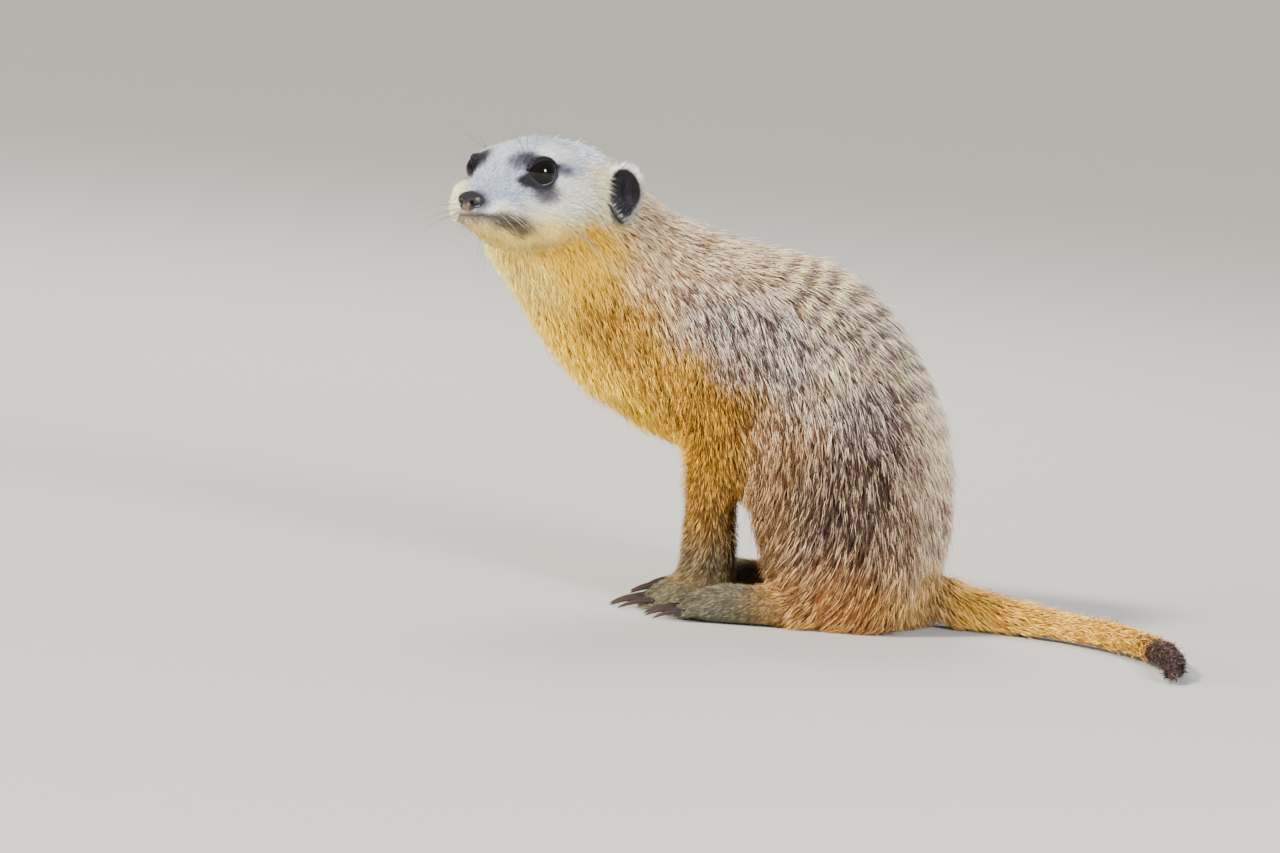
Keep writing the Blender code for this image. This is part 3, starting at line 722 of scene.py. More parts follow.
def make_whiskers(material):
    parts = []
    for outward in (1.0, -1.0):
        for root, way, length, droop in WHISKERS:
            way = unit(np.array(way) + RNG.normal(0, 0.05, 3))
            t = np.linspace(0, 1, 12)[:, None]
            path = np.array(root) + way * t * length - np.array([0.25, 0, 1.0]) * droop * t**2
            path = from_head(path * [1, outward, 1])
            parts.append(tube(path, WHISKER_THICKNESS * (1 - 0.85 * t[:, 0]), sides=4))
    points, tris = combined(parts)
    add_piece("whiskers", points, tris, material, WHISKER_GREY, "grey")


# ---- which way the coat lies

BODY_LIE = (  # x, outward, z and the way there
    (-74, 0, 160, 0.85, 0, -0.45), (-60, 0, 150, 0.85, 0, -0.5), (-33, 0, 139, 0.88, 0, -0.45),
    (4, 0, 132, 0.85, 0, -0.5), (31, 0, 113, 0.65, 0, -0.75), (50, 0, 82, 0.35, 0, -0.93),
    (58, 0, 48, 0.05, 0, -1), (55, 0, 18, 0.1, 0, -1), (-80, 18, 140, 0.6, 0.1, -0.75),
    (-88, 16, 122, 0.35, 0, -0.93), (-60, 26, 125, 0.56, 0, -0.82), (-40, 30, 115, 0.50, 0, -0.86),
    (-45, 27, 95, 0.45, 0, -0.89), (0, 32, 110, 0.44, 0, -0.90), (25, 34, 95, 0.34, 0, -0.94),
    (-15, 33, 92, 0.36, 0, -0.93), (-12, 33, 72, 0.3, 0, -0.95), (15, 40, 80, 0.15, 0, -1),
    (15, 48, 50, 0, 0, -1), (-8, 44, 55, -0.3, 0, -0.95), (35, 44, 45, 0.05, 0, -1),
    (0, 48, 20, -0.25, 0.1, -0.96), (25, 45, 15, -0.05, 0.15, -0.98), (-112, 0, 118, 0.4, 0, -0.9),
    (-100, 0, 98, 0.5, 0, -0.86), (-82, 0, 78, 0.55, 0, -0.83), (-62, 0, 64, 0.6, 0, -0.8),
    (-40, 0, 52, 0.5, 0, -0.85), (-20, 0, 40, 0.4, 0, -0.9), (-80, 20, 100, 0.5, 0.05, -0.86),
    (-65, 24, 85, 0.5, 0, -0.86), (-38, 30, 88, 0.25, 0, -0.97), (-35, 28, 72, 0.1, 0, -1),
    (-22, 28, 66, 0.6, 0.1, -0.6), (-36, 22, 50, -0.05, 0, -1), (-37, 22, 30, -0.1, 0, -1),
    (-42, 21, 14, -0.5, 0, -0.8), (-50, 20, 8, -0.95, 0, -0.25), (-60, 20, 4, -1, 0, -0.1),
    (15, 37, 10, -0.8, 0.1, -0.5), (-10, 38, 9, -1, 0, -0.1), (-35, 40, 6, -1, 0, -0.12),
)
TAIL_LIE = (
    (42, 0, 9, 1, 0, -0.15), (62, -1, 8, 0.97, -0.2, 0), (82, -5, 6, 0.93, -0.35, 0),
    (98, -12, 5, 0.8, -0.6, 0), (113, -24, 5, 0.68, -0.73, 0), (125, -38, 4, 0.5, -0.87, 0),
    (133, -55, 4, 0.32, -0.95, 0), (137, -72, 4, 0.08, -1, 0), (135, -97, 3, -0.1, -1, 0),
)
HEAD_LIE = (
    (58, 2, 5, -1, 0.1, 0.35), (48, 3, 10, -1, 0.1, 0.4), (36, 4, 17, -1, 0.1, 0.25),
    (20, 4, 21, -1, 0.1, 0.05), (5, 6, 22, -1, 0.1, -0.1), (-12, 6, 16, -0.85, 0, -0.5),
    (52, 7, 2, -1, 0.3, 0.05), (44, 10, 2, -1, 0.35, -0.1), (38, 15, 2, -1, 0.3, -0.35),
    (28, 18, -2, -0.95, 0.2, -0.45), (15, 20, -5, -0.9, 0.15, -0.55), (0, 20, -8, -0.75, 0.05, -0.7),
    (36, 10, 18, -0.9, 0.2, 0.35), (27, 16, 12, -1, 0.25, -0.05), (12, 22, 8, -0.8, 0.5, 0.1),
    (3, 20, 18, -0.9, 0.3, 0), (52, 0, -9, -1, 0, -0.2), (40, 0, -12, -1, 0, -0.35),
    (25, 0, -15, -0.9, 0, -0.5), (50, 8, -6, -0.95, 0.25, -0.35),
)
REACHES = {"body": 15.0, "tail": 10.0, "head": 7.5}


def along_surface(ways, normals):
    return unit(ways - (ways * normals).sum(1, keepdims=True) * normals)


def lie_guides():
    """Every guide on both sides: its place, its way and its reach."""
    rows = []
    for side in SIDES.values():
        for x, out, z, a, b, c in BODY_LIE:
            rows.append(((x, side * out, z), (a, side * b, c), REACHES["body"]))
        for f, out, u, a, b, c in HEAD_LIE:
            place = from_head((f, -side * out, u))
            rows.append((place, np.array((a, -side * b, c)) @ HEAD_AXES, REACHES["head"]))
    for x, y, z, a, b, c in TAIL_LIE:
        rows.append(((x, y, z), (a, b, c), REACHES["tail"]))
    return [np.array(column, float) for column in zip(*rows)]


def lie_of(points, normals):
    """The way the coat lies at each place, along the surface."""
    places, ways, reach = lie_guides()
    away = ((points[:, None] - places[None]) ** 2).sum(2)
    weight = np.exp(-away / (2 * reach**2)) / reach + 1e-7 / (away + 1)
    return along_surface(unit(weight @ unit(ways)), normals)


# ---- markings, with some painted light and shade

ZONES = {  # the colour at the root, of dark strands and of pale ones, and the share of pale ones
    "golden": ((0.11, 0.04, 0.003), (0.36, 0.16, 0.012), (0.9, 0.54, 0.08), 0.5),
    "cream": ((0.66, 0.3, 0.01), (0.96, 0.53, 0.018), (1, 0.66, 0.05), 0.74),
    "throat": ((0.92, 0.58, 0.1), (1, 0.72, 0.14), (1, 0.82, 0.24), 0.8),
    "white": ((0.78, 0.755, 0.64), (0.93, 0.905, 0.8), (1, 0.98, 0.88), 0.8),
    "ivory": ((0.64, 0.5, 0.23), (0.92, 0.77, 0.41), (1, 0.92, 0.62), 0.76),
    "grizzle": ((0.02, 0.012, 0.011), (0.09, 0.056, 0.048), (0.88, 0.78, 0.69), 0.48),
    "nape": ((0.075, 0.032, 0.014), (0.28, 0.14, 0.068), (0.94, 0.75, 0.5), 0.56),
    "band": ((0.26, 0.16, 0.05), (0.64, 0.47, 0.19), (1, 0.86, 0.48), 0.84),
    "plum": ((0.02, 0.009, 0.012), (0.085, 0.044, 0.05), (0.6, 0.47, 0.46), 0.34),
    "flank": ((0.09, 0.031, 0.003), (0.38, 0.16, 0.014), (0.93, 0.55, 0.1), 0.54),
    "umber": ((0.007, 0.003, 0.002), (0.038, 0.017, 0.009), (0.6, 0.41, 0.26), 0.36),
    "rusty": ((0.05, 0.016, 0.003), (0.19, 0.07, 0.014), (0.68, 0.38, 0.13), 0.42),
    "paw": ((0.012, 0.013, 0.01), (0.038, 0.042, 0.034), (0.2, 0.22, 0.175), 0.44),
    "tail": ((0.2, 0.08, 0.007), (0.5, 0.23, 0.022), (0.94, 0.56, 0.095), 0.56),
    "dusk": ((0.014, 0.008, 0.008), (0.048, 0.028, 0.027), (0.22, 0.15, 0.135), 0.3),
    # crown: grey fur with the blue of shade painted into it
    "crown": ((0.18, 0.21, 0.29), (0.31, 0.36, 0.49), (0.84, 0.91, 1), 0.68),
    "snow": ((0.6, 0.6, 0.58), (0.86, 0.86, 0.84), (1, 1, 0.98), 0.88),
    # muzzle: grey fur with the blue of shade painted into it
    "muzzle": ((0.13, 0.155, 0.22), (0.25, 0.295, 0.4), (0.62, 0.71, 0.9), 0.58),
    "olive": ((0.018, 0.018, 0.012), (0.05, 0.05, 0.036), (0.3, 0.29, 0.22), 0.34),
    "smoke": ((0.02, 0.018, 0.03), (0.052, 0.049, 0.076), (0.21, 0.2, 0.28), 0.36),
    "ochre": ((0.035, 0.012, 0.001), (0.165, 0.068, 0.004), (0.64, 0.31, 0.02), 0.46),
    "mask": ((0.004, 0.003, 0.005), (0.009, 0.008, 0.012), (0.036, 0.032, 0.048), 0.28),
    "black": ((0.002, 0.002, 0.003), (0.004, 0.0036, 0.005), (0.026, 0.024, 0.032), 0.18),
}
BACK_EDGE = (
    (0, 40, 66, 81, 92, 103, 114, 125, 136, 150, 175), (30, 8, -18, -26, -38, -54, -66, -70, -72, -76, -86)
)
CREAM_DEPTH = ((80, 92, 103, 114, 125, 136), (22, 20, 15, 20, 28, 36))  # z, and how far back from the chest
FRONT = ((0, 40, 52, 64, 78, 98, 118, 128), (0, -20, -40, -62, -82, -100, -112, -124))
SPINE = ((18, 48, 82, 113, 132, 139, 150, 163), (56, 58, 50, 31, 4, -33, -60, -76))
BAND_EVERY = 9.2
BAND_ROUND = (-22.0, 56.0, 76.0)  # the bands cross the back like spokes: x, z and radius
EYE_PATCHES = (  # zone, middle, radii, softness and strength: over the inner corner, under and behind
    ("smoke", (43.6, 9.3, 14.0), (5.8, 5.4, 4.6), 0.5, 0.92),
    ("mask", (41.4, 11.2, 14.6), (3.4, 3.6, 2.8), 0.6, 0.75),
    ("smoke", (40.8, 17.4, 3.0), (6.2, 7.0, 4.9), 0.42, 0.90),
    ("smoke", (31.8, 19.6, 10.2), (4.8, 6.0, 2.6), 0.5, 0.85),
)
LINER = (0.10, 0.30, 0.30)  # how far the black reaches before, behind and above an eye, in radians


def wander(points, size, seed):
    """A gentle unevenness of about -1 to 1, as large as the given size."""
    rng = np.random.default_rng(seed)
    total = np.zeros(len(points))
    for _ in range(5):
        way = unit(rng.normal(size=3))
        total += np.sin(points @ way * math.tau / (size * rng.uniform(0.7, 1.4)) + rng.uniform(0, math.tau))
    return total / 2.6


class Paint:
    """The colours of each place, laid on zone by zone."""

    def __init__(self, size, zone):
        self.tones = np.tile(np.array(ZONES[zone][:3]), (size, 1, 1))
        self.pale = np.full(size, float(ZONES[zone][3]))

    def lay(self, zone, mask):
        m = np.clip(mask, 0, 1)
        self.tones += m[:, None, None] * (np.array(ZONES[zone][:3]) - self.tones)
        self.pale += m * (ZONES[zone][3] - self.pale)


def markings(points, share, jitter=0.0):
    """The coat's colours at each place: its markings, with some painted light and shade. Jitter lets single
    tufts stray across an edge.
    """
    x, y, z = points.T
    rough = wander(points, 16, 3) + 1.5 * jitter
    paint = Paint(len(points), "golden")
    lay = paint.lay
    on = dict(zip(PARTS, share.T))
    haunch, head = on["thigh"], on["head"] + on["lower_jaw"]
    arm, tail = on["forearm"] + on["upper_arm"], on["tail_base"] + on["tail_middle"] + on["tail_tip"]
    trunk = np.clip(1 - haunch - on["forearm"] - on["forefoot"] - on["hind_foot"] - tail, 0, 1)

    # the trunk: pale in front, grizzled behind, with bands across the back
    front = x - np.interp(z, *FRONT)
    lay("cream", trunk * (1 - rise(front - np.interp(z, *CREAM_DEPTH) - 2.5 * rough, -7, 14)))
    fore_throat = (1 - rise(front - 2 * rough, 7, 16)) * rise(z, 100, 20)
    lay("throat", trunk * fore_throat)
    lay("flank", trunk * rise(x, -40, 14) * fall(z, 86, 14))
    back = rise(x + 4 * rough - np.interp(z, *BACK_EDGE), -6, 24)
    lay("grizzle", trunk * back)
    lay("nape", trunk * rise(front + 3 * rough, 36, 14) * rise(z, 112, 16) * 0.85)
    from_spine = np.interp(z, *SPINE) - x
    high = fall(from_spine, 50, 24)
    lay("nape", trunk * back * fall(x - 6 * rough, -42, 22) * 0.75)
    along = BAND_ROUND[2] * np.arctan2(x - BAND_ROUND[0], z - BAND_ROUND[1])
    along += 0.15 * np.abs(y) + 1.6 * wander(points, 20, 8) + 0.7 * jitter
    stripe = np.sin(along * math.tau / BAND_EVERY)
    banded = trunk * back * high * rise(x, -28, 20)
    banded *= np.clip(0.85 + 0.25 * wander(points, 26, 11), 0.4, 1)
    lay("plum", banded * fall(stripe, 0.3, 0.6) * 0.80)
    lay("band", banded * rise(stripe, 0.2, 0.5) * 0.85)

    # the haunch and rump, rusty toward the floor
    level = z + 4 * rough
    lay("grizzle", haunch)
    lay("plum", haunch * fall(level, 96, 26) * 0.55)
    lay("umber", haunch * fall(level, 88, 28) * 0.86)
    lay("rusty", haunch * fall(level - 0.25 * x, 34, 24))
    lay("rusty", trunk * fall(level, 30, 16) * rise(x, 18, 14))
    # the rump: paler toward its back edge, partly its own fur and partly painted light falling on it from
    # behind and above
    rump = (trunk + haunch) * rise(x + 3 * rough, 27, 16)
    lay("nape", rump * fall(z, 104, 20) * 0.55)
    lay("flank", rump * fall(level, 34, 18) * 0.60)
    paint.pale += 0.16 * rump * fall(z, 108, 20) * rise(z, 45, 20)
    lead = np.interp(z, (10, 30, 55, 80), (-2, -9, -10, 0))
    lay("flank", haunch * (1 - rise(x - lead - 3 * rough, 2, 12)) * fall(z, 84, 12) * 0.26)

    # the arms, feet and tail
    lay("ochre", arm * smooth((x + 52) / 12 + 0.3 * rough) * 0.85)
    lay("grizzle", on["upper_arm"] * rise(z + 5 * rough, 82, 14) * rise(x, -46, 14) * 0.8)
    lay("umber", on["forearm"] * fall(z - 4 * rough, 56, 30) * rise(x, -46, 8) * 0.35)
    lay("golden", arm * fall(x, -43, 5) * 0.8)
    lay("ochre", on["hind_foot"] * 0.9)
    lay("paw", on["forefoot"] * 0.9 + on["hind_foot"] * fall(x - 4 * rough, 10, 34) * 0.9)
    lay("paw", on["forearm"] * fall(z - 3 * rough, 38, 24) * 0.80)
    # painted shade: black laid in the grooves between the toes, on skin and coat alike
    lay("black", (on["forefoot"] + on["hind_foot"]) * between_toes(points) * 0.9)
    lay("tail", tail)
    lay("flank", tail * fall(z, 4.5, 4) * 0.6)
    lay("dusk", tail * fall(y - 4 * rough, -40, 20))

    # the head: a white face with a grey crown and muzzle tinted blue as painted shade, then the dark patches
    f, s, u = in_head(points).T
    far_side, s = s < 0, np.abs(s)
    places = np.stack([f, s, u], 1)
    edge = 1.2 * jitter + wander(points, 9, 5)
    jaw = head + on["neck"]
    near = rise(f, -14, 12) * jaw * rise(u + 0.55 * f, -14, 8)
    lay("nape", jaw * (1 - rise(f + edge, -4, 8)) * rise(u + edge, -6, 8) * 0.9)
    lay("cream", jaw * rise(f, -4, 12) * fall(u - edge, 12, 10))
    lay("throat", jaw * rise(f + edge, 20, 12) * fall(u - edge, 2, 8))
    lay("throat", jaw * fore_throat * 0.9)
    lay("ivory", head * rise(f + edge, 2, 12) * rise(u + edge, -12.5, 8))
    lay("white", head * rise(f + edge, 12, 14) * rise(u + edge, -8, 7))
    # partly painted shade: the grey crown tinted blue
    lay("crown", near * rise(u + 1.4 * edge - 0.10 * (30 - f), 4, 7) * rise(f, -13, 20))
    lay("snow", head * patch(places, (28, 17, 17.0), (10, 8, 4.5), 0.4) * 0.9)
    # partly painted shade: the grey muzzle tinted blue
    lay("muzzle", head * rise(f + edge, 42, 9) * rise(u + 0.8 * edge, -3.5, 4))
    blotch = places + edge[:, None] * 0.5  # the same places, with an uneven edge to whatever is laid there
    lips = from_mouth(places)
    stain = np.interp(f, (37, 42, 46, 54, 60, 63), (0.6, 2.2, 3.0, 3.1, 2.0, 1.0))
    lay("olive", head * (1 - rise(lips + 0.8 * edge - stain, -1.6, 2.8)) * rise(f, 37, 5) * 0.88)
    for zone, centre, radii, soft, strength in EYE_PATCHES:
        lay(zone, head * patch(blotch, centre, radii, soft) * strength)
    lay("mask", head * (far_side > 0) * patch(blotch, (43.0, 11.5, 9.5), (5.5, 6.0, 8.0), 0.4) * 0.9)
    across, high, ahead, far = eye_angles(places)
    liner = np.hypot(across / (OPENING[0] + np.where(across < 0, *LINER[:2])), high / (OPENING[1] + LINER[2]))
    lay("mask", head * (1 - rise(liner, 0.88, 0.26)) * ahead * (far < EYE_RADIUS + 6))
    lay("ivory", head * far_side * patch(places, (50, 14, -2), (9, 6.5, 8), 0.4) * 0.95)
    lay("smoke", head * rise(f, 52, 10) * rise(u, 1, 4) * 0.3)
    lay("smoke", head * patch(places, nose_middle(), (5.0, 6.6, 5.6)) * 0.95)
    beyond = far_side * rise(s, 6, 4)
    lay("dusk", head * (1 - beyond) * np.exp(-((lips / 0.85) ** 2)) * rise(f, 43, 5) * 0.95)
    lay("ivory", jaw * patch(blotch, (6, 24, 2), (12, 8, 15)) * 0.85)
    return paint


# ---- the coat's tufts

FACE_HAIR = ((-15, 5, 20, 38, 50, 60), (6.5, 5.4, 3.8, 2.5, 1.7, 1.2))  # forward, and length there
FACE_CROWD = ((-15, 5, 20, 38, 50, 60), (2.3, 2.9, 3.7, 5.4, 7.5, 9.0))  # forward, and tufts there
FLUFFS = (  # centre and radii on the head, softness, and the further length, lift and stray tufts there
    ((22, 21, -6), (12, 8, 9), 0.30, 1.2, 7, 0.0),
    ((9, 23, 0), (6, 8, 12), 0.5, 2.2, 8, 0.0),
    ((-7, 22, 4), (9, 10, 14), 0.5, 2.6, 12, 0.08),
)
LENGTHS, LIFTS, STRAY_LIFTS = (0.72, 1.22), (0.55, 1.5), (0.2, 0.65)  # how widely the tufts vary
DRIFTS = (0.14, 0.10)  # how far strands and single tufts turn aside
SHADING = (0.10, 0.07)  # how far strands and single tufts differ in shade
PALENESS = (0.52, 0.48)  # the strand's part and the tuft's own in whether it is pale
CURVED_FROM = 4.2  # tufts at least this long have a bend in them
TUFT_FACES = (  # a bent tuft's triangles, between two rings of three corners and a tip, and a straight one's
    ((0, 1, 4), (0, 4, 3), (1, 2, 5), (1, 5, 4), (2, 0, 3), (2, 3, 5), (3, 4, 6), (4, 5, 6), (5, 3, 6),
     (0, 2, 1)),
    ((0, 1, 3), (1, 2, 3), (2, 0, 3), (0, 2, 1)),
)
TUFT_SPOTS = (  # where each of those corners lies in the tuft's UV patch
    ((-0.5, 0), (0.5, 0), (0, 0), (-0.4, 0.5), (0.4, 0.5), (0, 0.5), (0, 1)),
    ((-0.5, 0), (0.5, 0), (0, 0), (0, 1)),
)
STRAND = 4  # tufts drawn together into one strand
ROOT_DEPTH = 0.35
FLOOR_GAP = 0.12
UV_PATCH = 0.003
COAT_LIMIT = 195000


def hair_fields(points, tris, normals, part):
    """Crowding, length, width, lift, pull and share of stray tufts at each corner of the skin."""
    rows = np.array([FLESH[n][1:] for n in PARTS], float)[part]
    places = folded(in_head(points))
    (_, y, z), (f, _, u) = points.T, places.T
    head, thigh, tip = (part == PARTS.index(n) for n in ("head", "thigh", "tail_tip"))
    rows[head, 1] = np.interp(f[head], *FACE_HAIR)
    rows[head, 0] = np.interp(f[head], *FACE_CROWD)
    crowd, length, width, lift, pull = spread_over(rows, tris, 10).T
    under = fall(normals[:, 2], -0.55, 0.3) * fall(z, 9, 5)  # what rests on the floor
    crowd *= 1 - 0.6 * under
    length *= 1 - 0.45 * under
    chest = fall(normals[:, 0], -0.35, 0.4) * (z > 45) * (z < 138) * (f < 20)
    lift += 12 * chest
    hem = fall(z, 18, 12) * thigh  # the long hair that hides where the haunch meets the floor
    lift += 6 * hem
    length += 1.5 * hem
    pad = patch(places, (49, 13.5, -2.5), (9.5, 6, 8), 0.5) * head  # under the whiskers
    far = in_head(points)[:, 1] < -8  # where it stands out further, on the right
    length += (0.9 + 4.2 * far) * pad
    lift += (8 + 34 * far) * pad
    stray = 0.06 + 0.32 * chest - 0.035 * head + 0.15 * pad
    length *= 1 - 0.5 * eye_reach(points, 0.55)
    top = rise(u, 12, 6) * rise(f, -14, 8)  # the sleek crown
    lift -= 7 * top
    length *= 1 - 0.15 * top
    length *= 1 - 0.5 * between_toes(points)
    for centre, radii, soft, longer, steeper, more_stray in FLUFFS:
        fluff = patch(places, centre, radii, soft)
        length += longer * fluff
        lift += steeper * fluff
        stray += more_stray * fluff
    length += 1.5 * fall(y, -78, 20) * tip
    return np.column_stack([crowd, length, width, lift, pull, stray])


def eye_reach(points, margin):
    """1 where a place lies within the margin, in radians, of an eye's opening."""
    across, high, ahead, far = eye_angles(folded(in_head(points)))
    inside = np.hypot(across / (OPENING[0] + margin), high / (OPENING[1] + margin)) < 1
    return inside & ahead & (far < EYE_RADIUS + 2.2)


def bare(points):
    """Places without fur: the eyes' openings and lids, the mouth's line, the nose and between toes."""
    places = folded(in_head(points))
    lips = (from_mouth(places) < 0.35) & (places[:, 0] > 46)
    pad = (((places - nose_middle()) / (np.array(NOSE_RADII) + 0.1)) ** 2).sum(1) < 1
    toes = (points[:, 2] < 12) & (points[:, 0] < TOES_FROM)
    toes[toes] = between_toes(points[toes]) > 0.7
    return eye_reach(points, 0.16) | lips | pad | toes


def scattered(points, tris, crowd, rng):
    """Roots over the surface: the triangle of each and its place within that triangle."""
    a, b, c = (points[tris[:, i]] for i in range(3))
    area = np.linalg.norm(np.cross(b - a, c - a), axis=1) / 2
    share = area * crowd[tris].mean(1)
    count = int(share.sum())
    edges = np.cumsum(share)
    at = (np.arange(count) + rng.random(count)) * (edges[-1] / max(count, 1))
    pick = np.minimum(np.searchsorted(edges, at), len(tris) - 1)
    r, q = np.sqrt(rng.random(count)), rng.random(count)
    return pick, np.stack([1 - r, r * (1 - q), r * q], 1)


def at_roots(values, tris, pick, weights):
    corner = values[tris[pick]]
    shape = (len(pick), 3) + (1,) * (corner.ndim - 2)
    return (corner * weights.reshape(shape)).sum(1)


def strands(roots, rng):
    """The strand that each tuft belongs to, as the number of the tuft at the strand's middle."""
    leaders = rng.choice(len(roots), max(1, len(roots) // STRAND), replace=False)
    return leaders[nearest(roots[leaders], roots)]


def blades(roots, normals, ways, fields, tones, pale, rng):
    """Tapered tufts, curved when long: their corners, triangles, colours and places in a UV patch."""
    count = len(roots)
    _, length, width, lift, pull, stray = fields.T
    length = length * rng.uniform(*LENGTHS, count)
    lift = np.radians(lift) * rng.uniform(*LIFTS, count)
    lift = np.where(rng.random(count) < stray, lift + rng.uniform(*STRAY_LIFTS, count), lift)
    leader = strands(roots, rng)
    drift = rng.normal(0, DRIFTS[0], count)[leader] + rng.normal(0, DRIFTS[1], count)
    side = unit(np.cross(normals, ways))
    ways = unit(ways + drift[:, None] * side)
    side = unit(np.cross(normals, ways))

    def step(angle):
        return np.cos(angle)[:, None] * ways + np.sin(angle)[:, None] * normals

    half = length[:, None] * 0.5
    bend = np.interp(length, (4.0, 8.0), (0.15, 0.5))
    mid = roots + half * step(lift * (1 + bend))
    tip = mid + half * step(lift * (1 - 1.1 * bend))
    reach = tip[leader] - roots[leader]
    goal = roots[leader] + reach * (length / length[leader])[:, None]
    apart = np.linalg.norm(roots - roots[leader], axis=1)
    draw = (pull * np.exp(-apart / 3.0))[:, None]
    tip = tip + draw * (goal - tip)
    mid = mid + 0.4 * draw * (roots[leader] + reach * 0.5 - mid)
    base = roots - ROOT_DEPTH * normals

    value = PALENESS[0] * rng.random(count)[leader] + PALENESS[1] * rng.random(count)
    value = rise(value + pale, 0.87, 0.26)[:, None]
    shade = (rng.normal(1, SHADING[0], count)[leader] * rng.normal(1, SHADING[1], count))[:, None]
    body = (tones[:, 1] + value * (tones[:, 2] - tones[:, 1])) * shade
    foot = tones[:, 0] * shade

    ring = np.array([(-0.5, -0.12), (0.5, -0.12), (0.0, 0.34)])
    spread = (ring[:, 0, None, None] * side + ring[:, 1, None, None] * normals) * width[:, None]
    spread = spread.transpose(1, 0, 2)
    parts, kept = [], []
    for chosen, faces, spots in zip((length >= CURVED_FROM, length < CURVED_FROM), TUFT_FACES, TUFT_SPOTS):
        rings = [base[chosen, None] + spread[chosen]]
        hues = [np.repeat((foot + 0.15 * (body - foot))[chosen, None], 3, 1)]
        if len(spots) > 4:
            rings.append(mid[chosen, None] + 0.8 * spread[chosen])
            hues.append(np.repeat((foot + 0.82 * (body - foot))[chosen, None], 3, 1))
        places = np.concatenate([*rings, tip[chosen, None]], 1)
        hues = np.concatenate([*hues, (body * 1.06)[chosen, None]], 1)
        count, size = places.shape[:2]
        tris = (np.array(faces)[None] + (np.arange(count) * size)[:, None, None]).reshape(-1, 3)
        parts.append((places.reshape(-1, 3), tris))
        tuft = np.repeat(np.flatnonzero(chosen), size)
        kept.append((hues.reshape(-1, 3), np.tile(spots, (count, 1)), tuft))
    points, tris = combined(parts)
    points[:, 2] = np.maximum(points[:, 2], FLOOR_GAP)
    return points, tris, *(np.concatenate(column) for column in zip(*kept))


def unwrapped(points, tris):
    """UV places of the corners of each triangle on an unwrap of the surface's own shape."""
    obj = plain_object("unwrap", points, tris)
    mesh = obj.data
    bpy.context.view_layer.objects.active = obj
    for other in bpy.context.selected_objects:
        other.select_set(False)
    obj.select_set(True)
    bpy.ops.object.mode_set(mode="EDIT")
    bpy.ops.mesh.select_all(action="SELECT")
    bpy.ops.uv.smart_project(angle_limit=math.radians(70), island_margin=0.004)
    bpy.ops.object.mode_set(mode="OBJECT")
    uvs = np.empty(len(mesh.loops) * 2, np.float32)
    mesh.uv_layers.active.uv.foreach_get("vector", uvs)
    bpy.data.objects.remove(obj)
    bpy.data.meshes.remove(mesh)
    return uvs.reshape(-1, 3, 2)


def grow(name, points, tris, normals, ways, fields, material, slot, rng, share=None, paint_of=None):
    """Grows one piece of coat over a patch of surface, with the animal's markings or a paint of its own."""
    used, inverse = np.unique(tris, return_inverse=True)
    pick, weights = scattered(points, tris, fields[:, 0], rng)
    roots = at_roots(points, tris, pick, weights)
    if paint_of:
        paint = paint_of(roots)
    else:
        keep = ~bare(roots)
        pick, weights, roots = pick[keep], weights[keep], roots[keep]
        paint = markings(roots, at_roots(share, tris, pick, weights), rng.normal(0, 0.5, len(roots)))
    places, faces, hues, spots, tuft = blades(
        roots, unit(at_roots(normals, tris, pick, weights)), unit(at_roots(ways, tris, pick, weights)),
        at_roots(fields, tris, pick, weights), paint.tones, paint.pale, rng)
    if len(faces) > COAT_LIMIT:
        raise ValueError(f"{name} has too many triangles")
    flat = unwrapped(points[used], inverse.reshape(-1, 3))
    home = (flat[pick] * weights[:, :, None]).sum(1)
    spot = home[tuft] + (spots - [0, 0.5]) * UV_PATCH
    add_piece(name, places, faces, material, hues, slot, uvs=spot[faces].reshape(-1, 2))


COAT_GROUPS = {  # the flesh under each piece of coat, and the record's material slot for it
    "head": (("head", "lower_jaw"), "grey"),
    "neck": (("neck",), "yellow"),
    "chest": (("chest",), "yellow"),
    "abdomen": (("abdomen",), "back"),
    "arm": (("upper_arm", "forearm"), "ochre"),
    "thigh": (("thigh",), "rust"),
    "feet": (("forefoot", "hind_foot"), "paw"),
    "tail": (("tail_base", "tail_middle", "tail_tip"), "ochre"),
}
ONE_PIECE = ("feet", "tail")


def make_coat(points, tris, normals, part, share, material):
    ways = unit(spread_over(lie_of(points, normals), tris, 4))
    ways = along_surface(ways, normals)
    fields = hair_fields(points, tris, normals, part)
    centre = points[tris].mean(1)
    owner = part[tris[:, 0]]
    for number, (group, (members, slot)) in enumerate(COAT_GROUPS.items()):
        inside = np.isin(owner, [PARTS.index(m) for m in members])
        aside = in_head(centre)[:, 1] < 0 if group == "head" else centre[:, 1] > 0
        halves = {"": inside} if group in ONE_PIECE else {"_left": inside & ~aside, "_right": inside & aside}
        for half, chosen in halves.items():
            rng = np.random.default_rng(100 + number * 2 + len(half))
            name = f"coat_{group}{half}"
            grow(name, points, tris[chosen], normals, ways, fields, material, slot, rng, share)


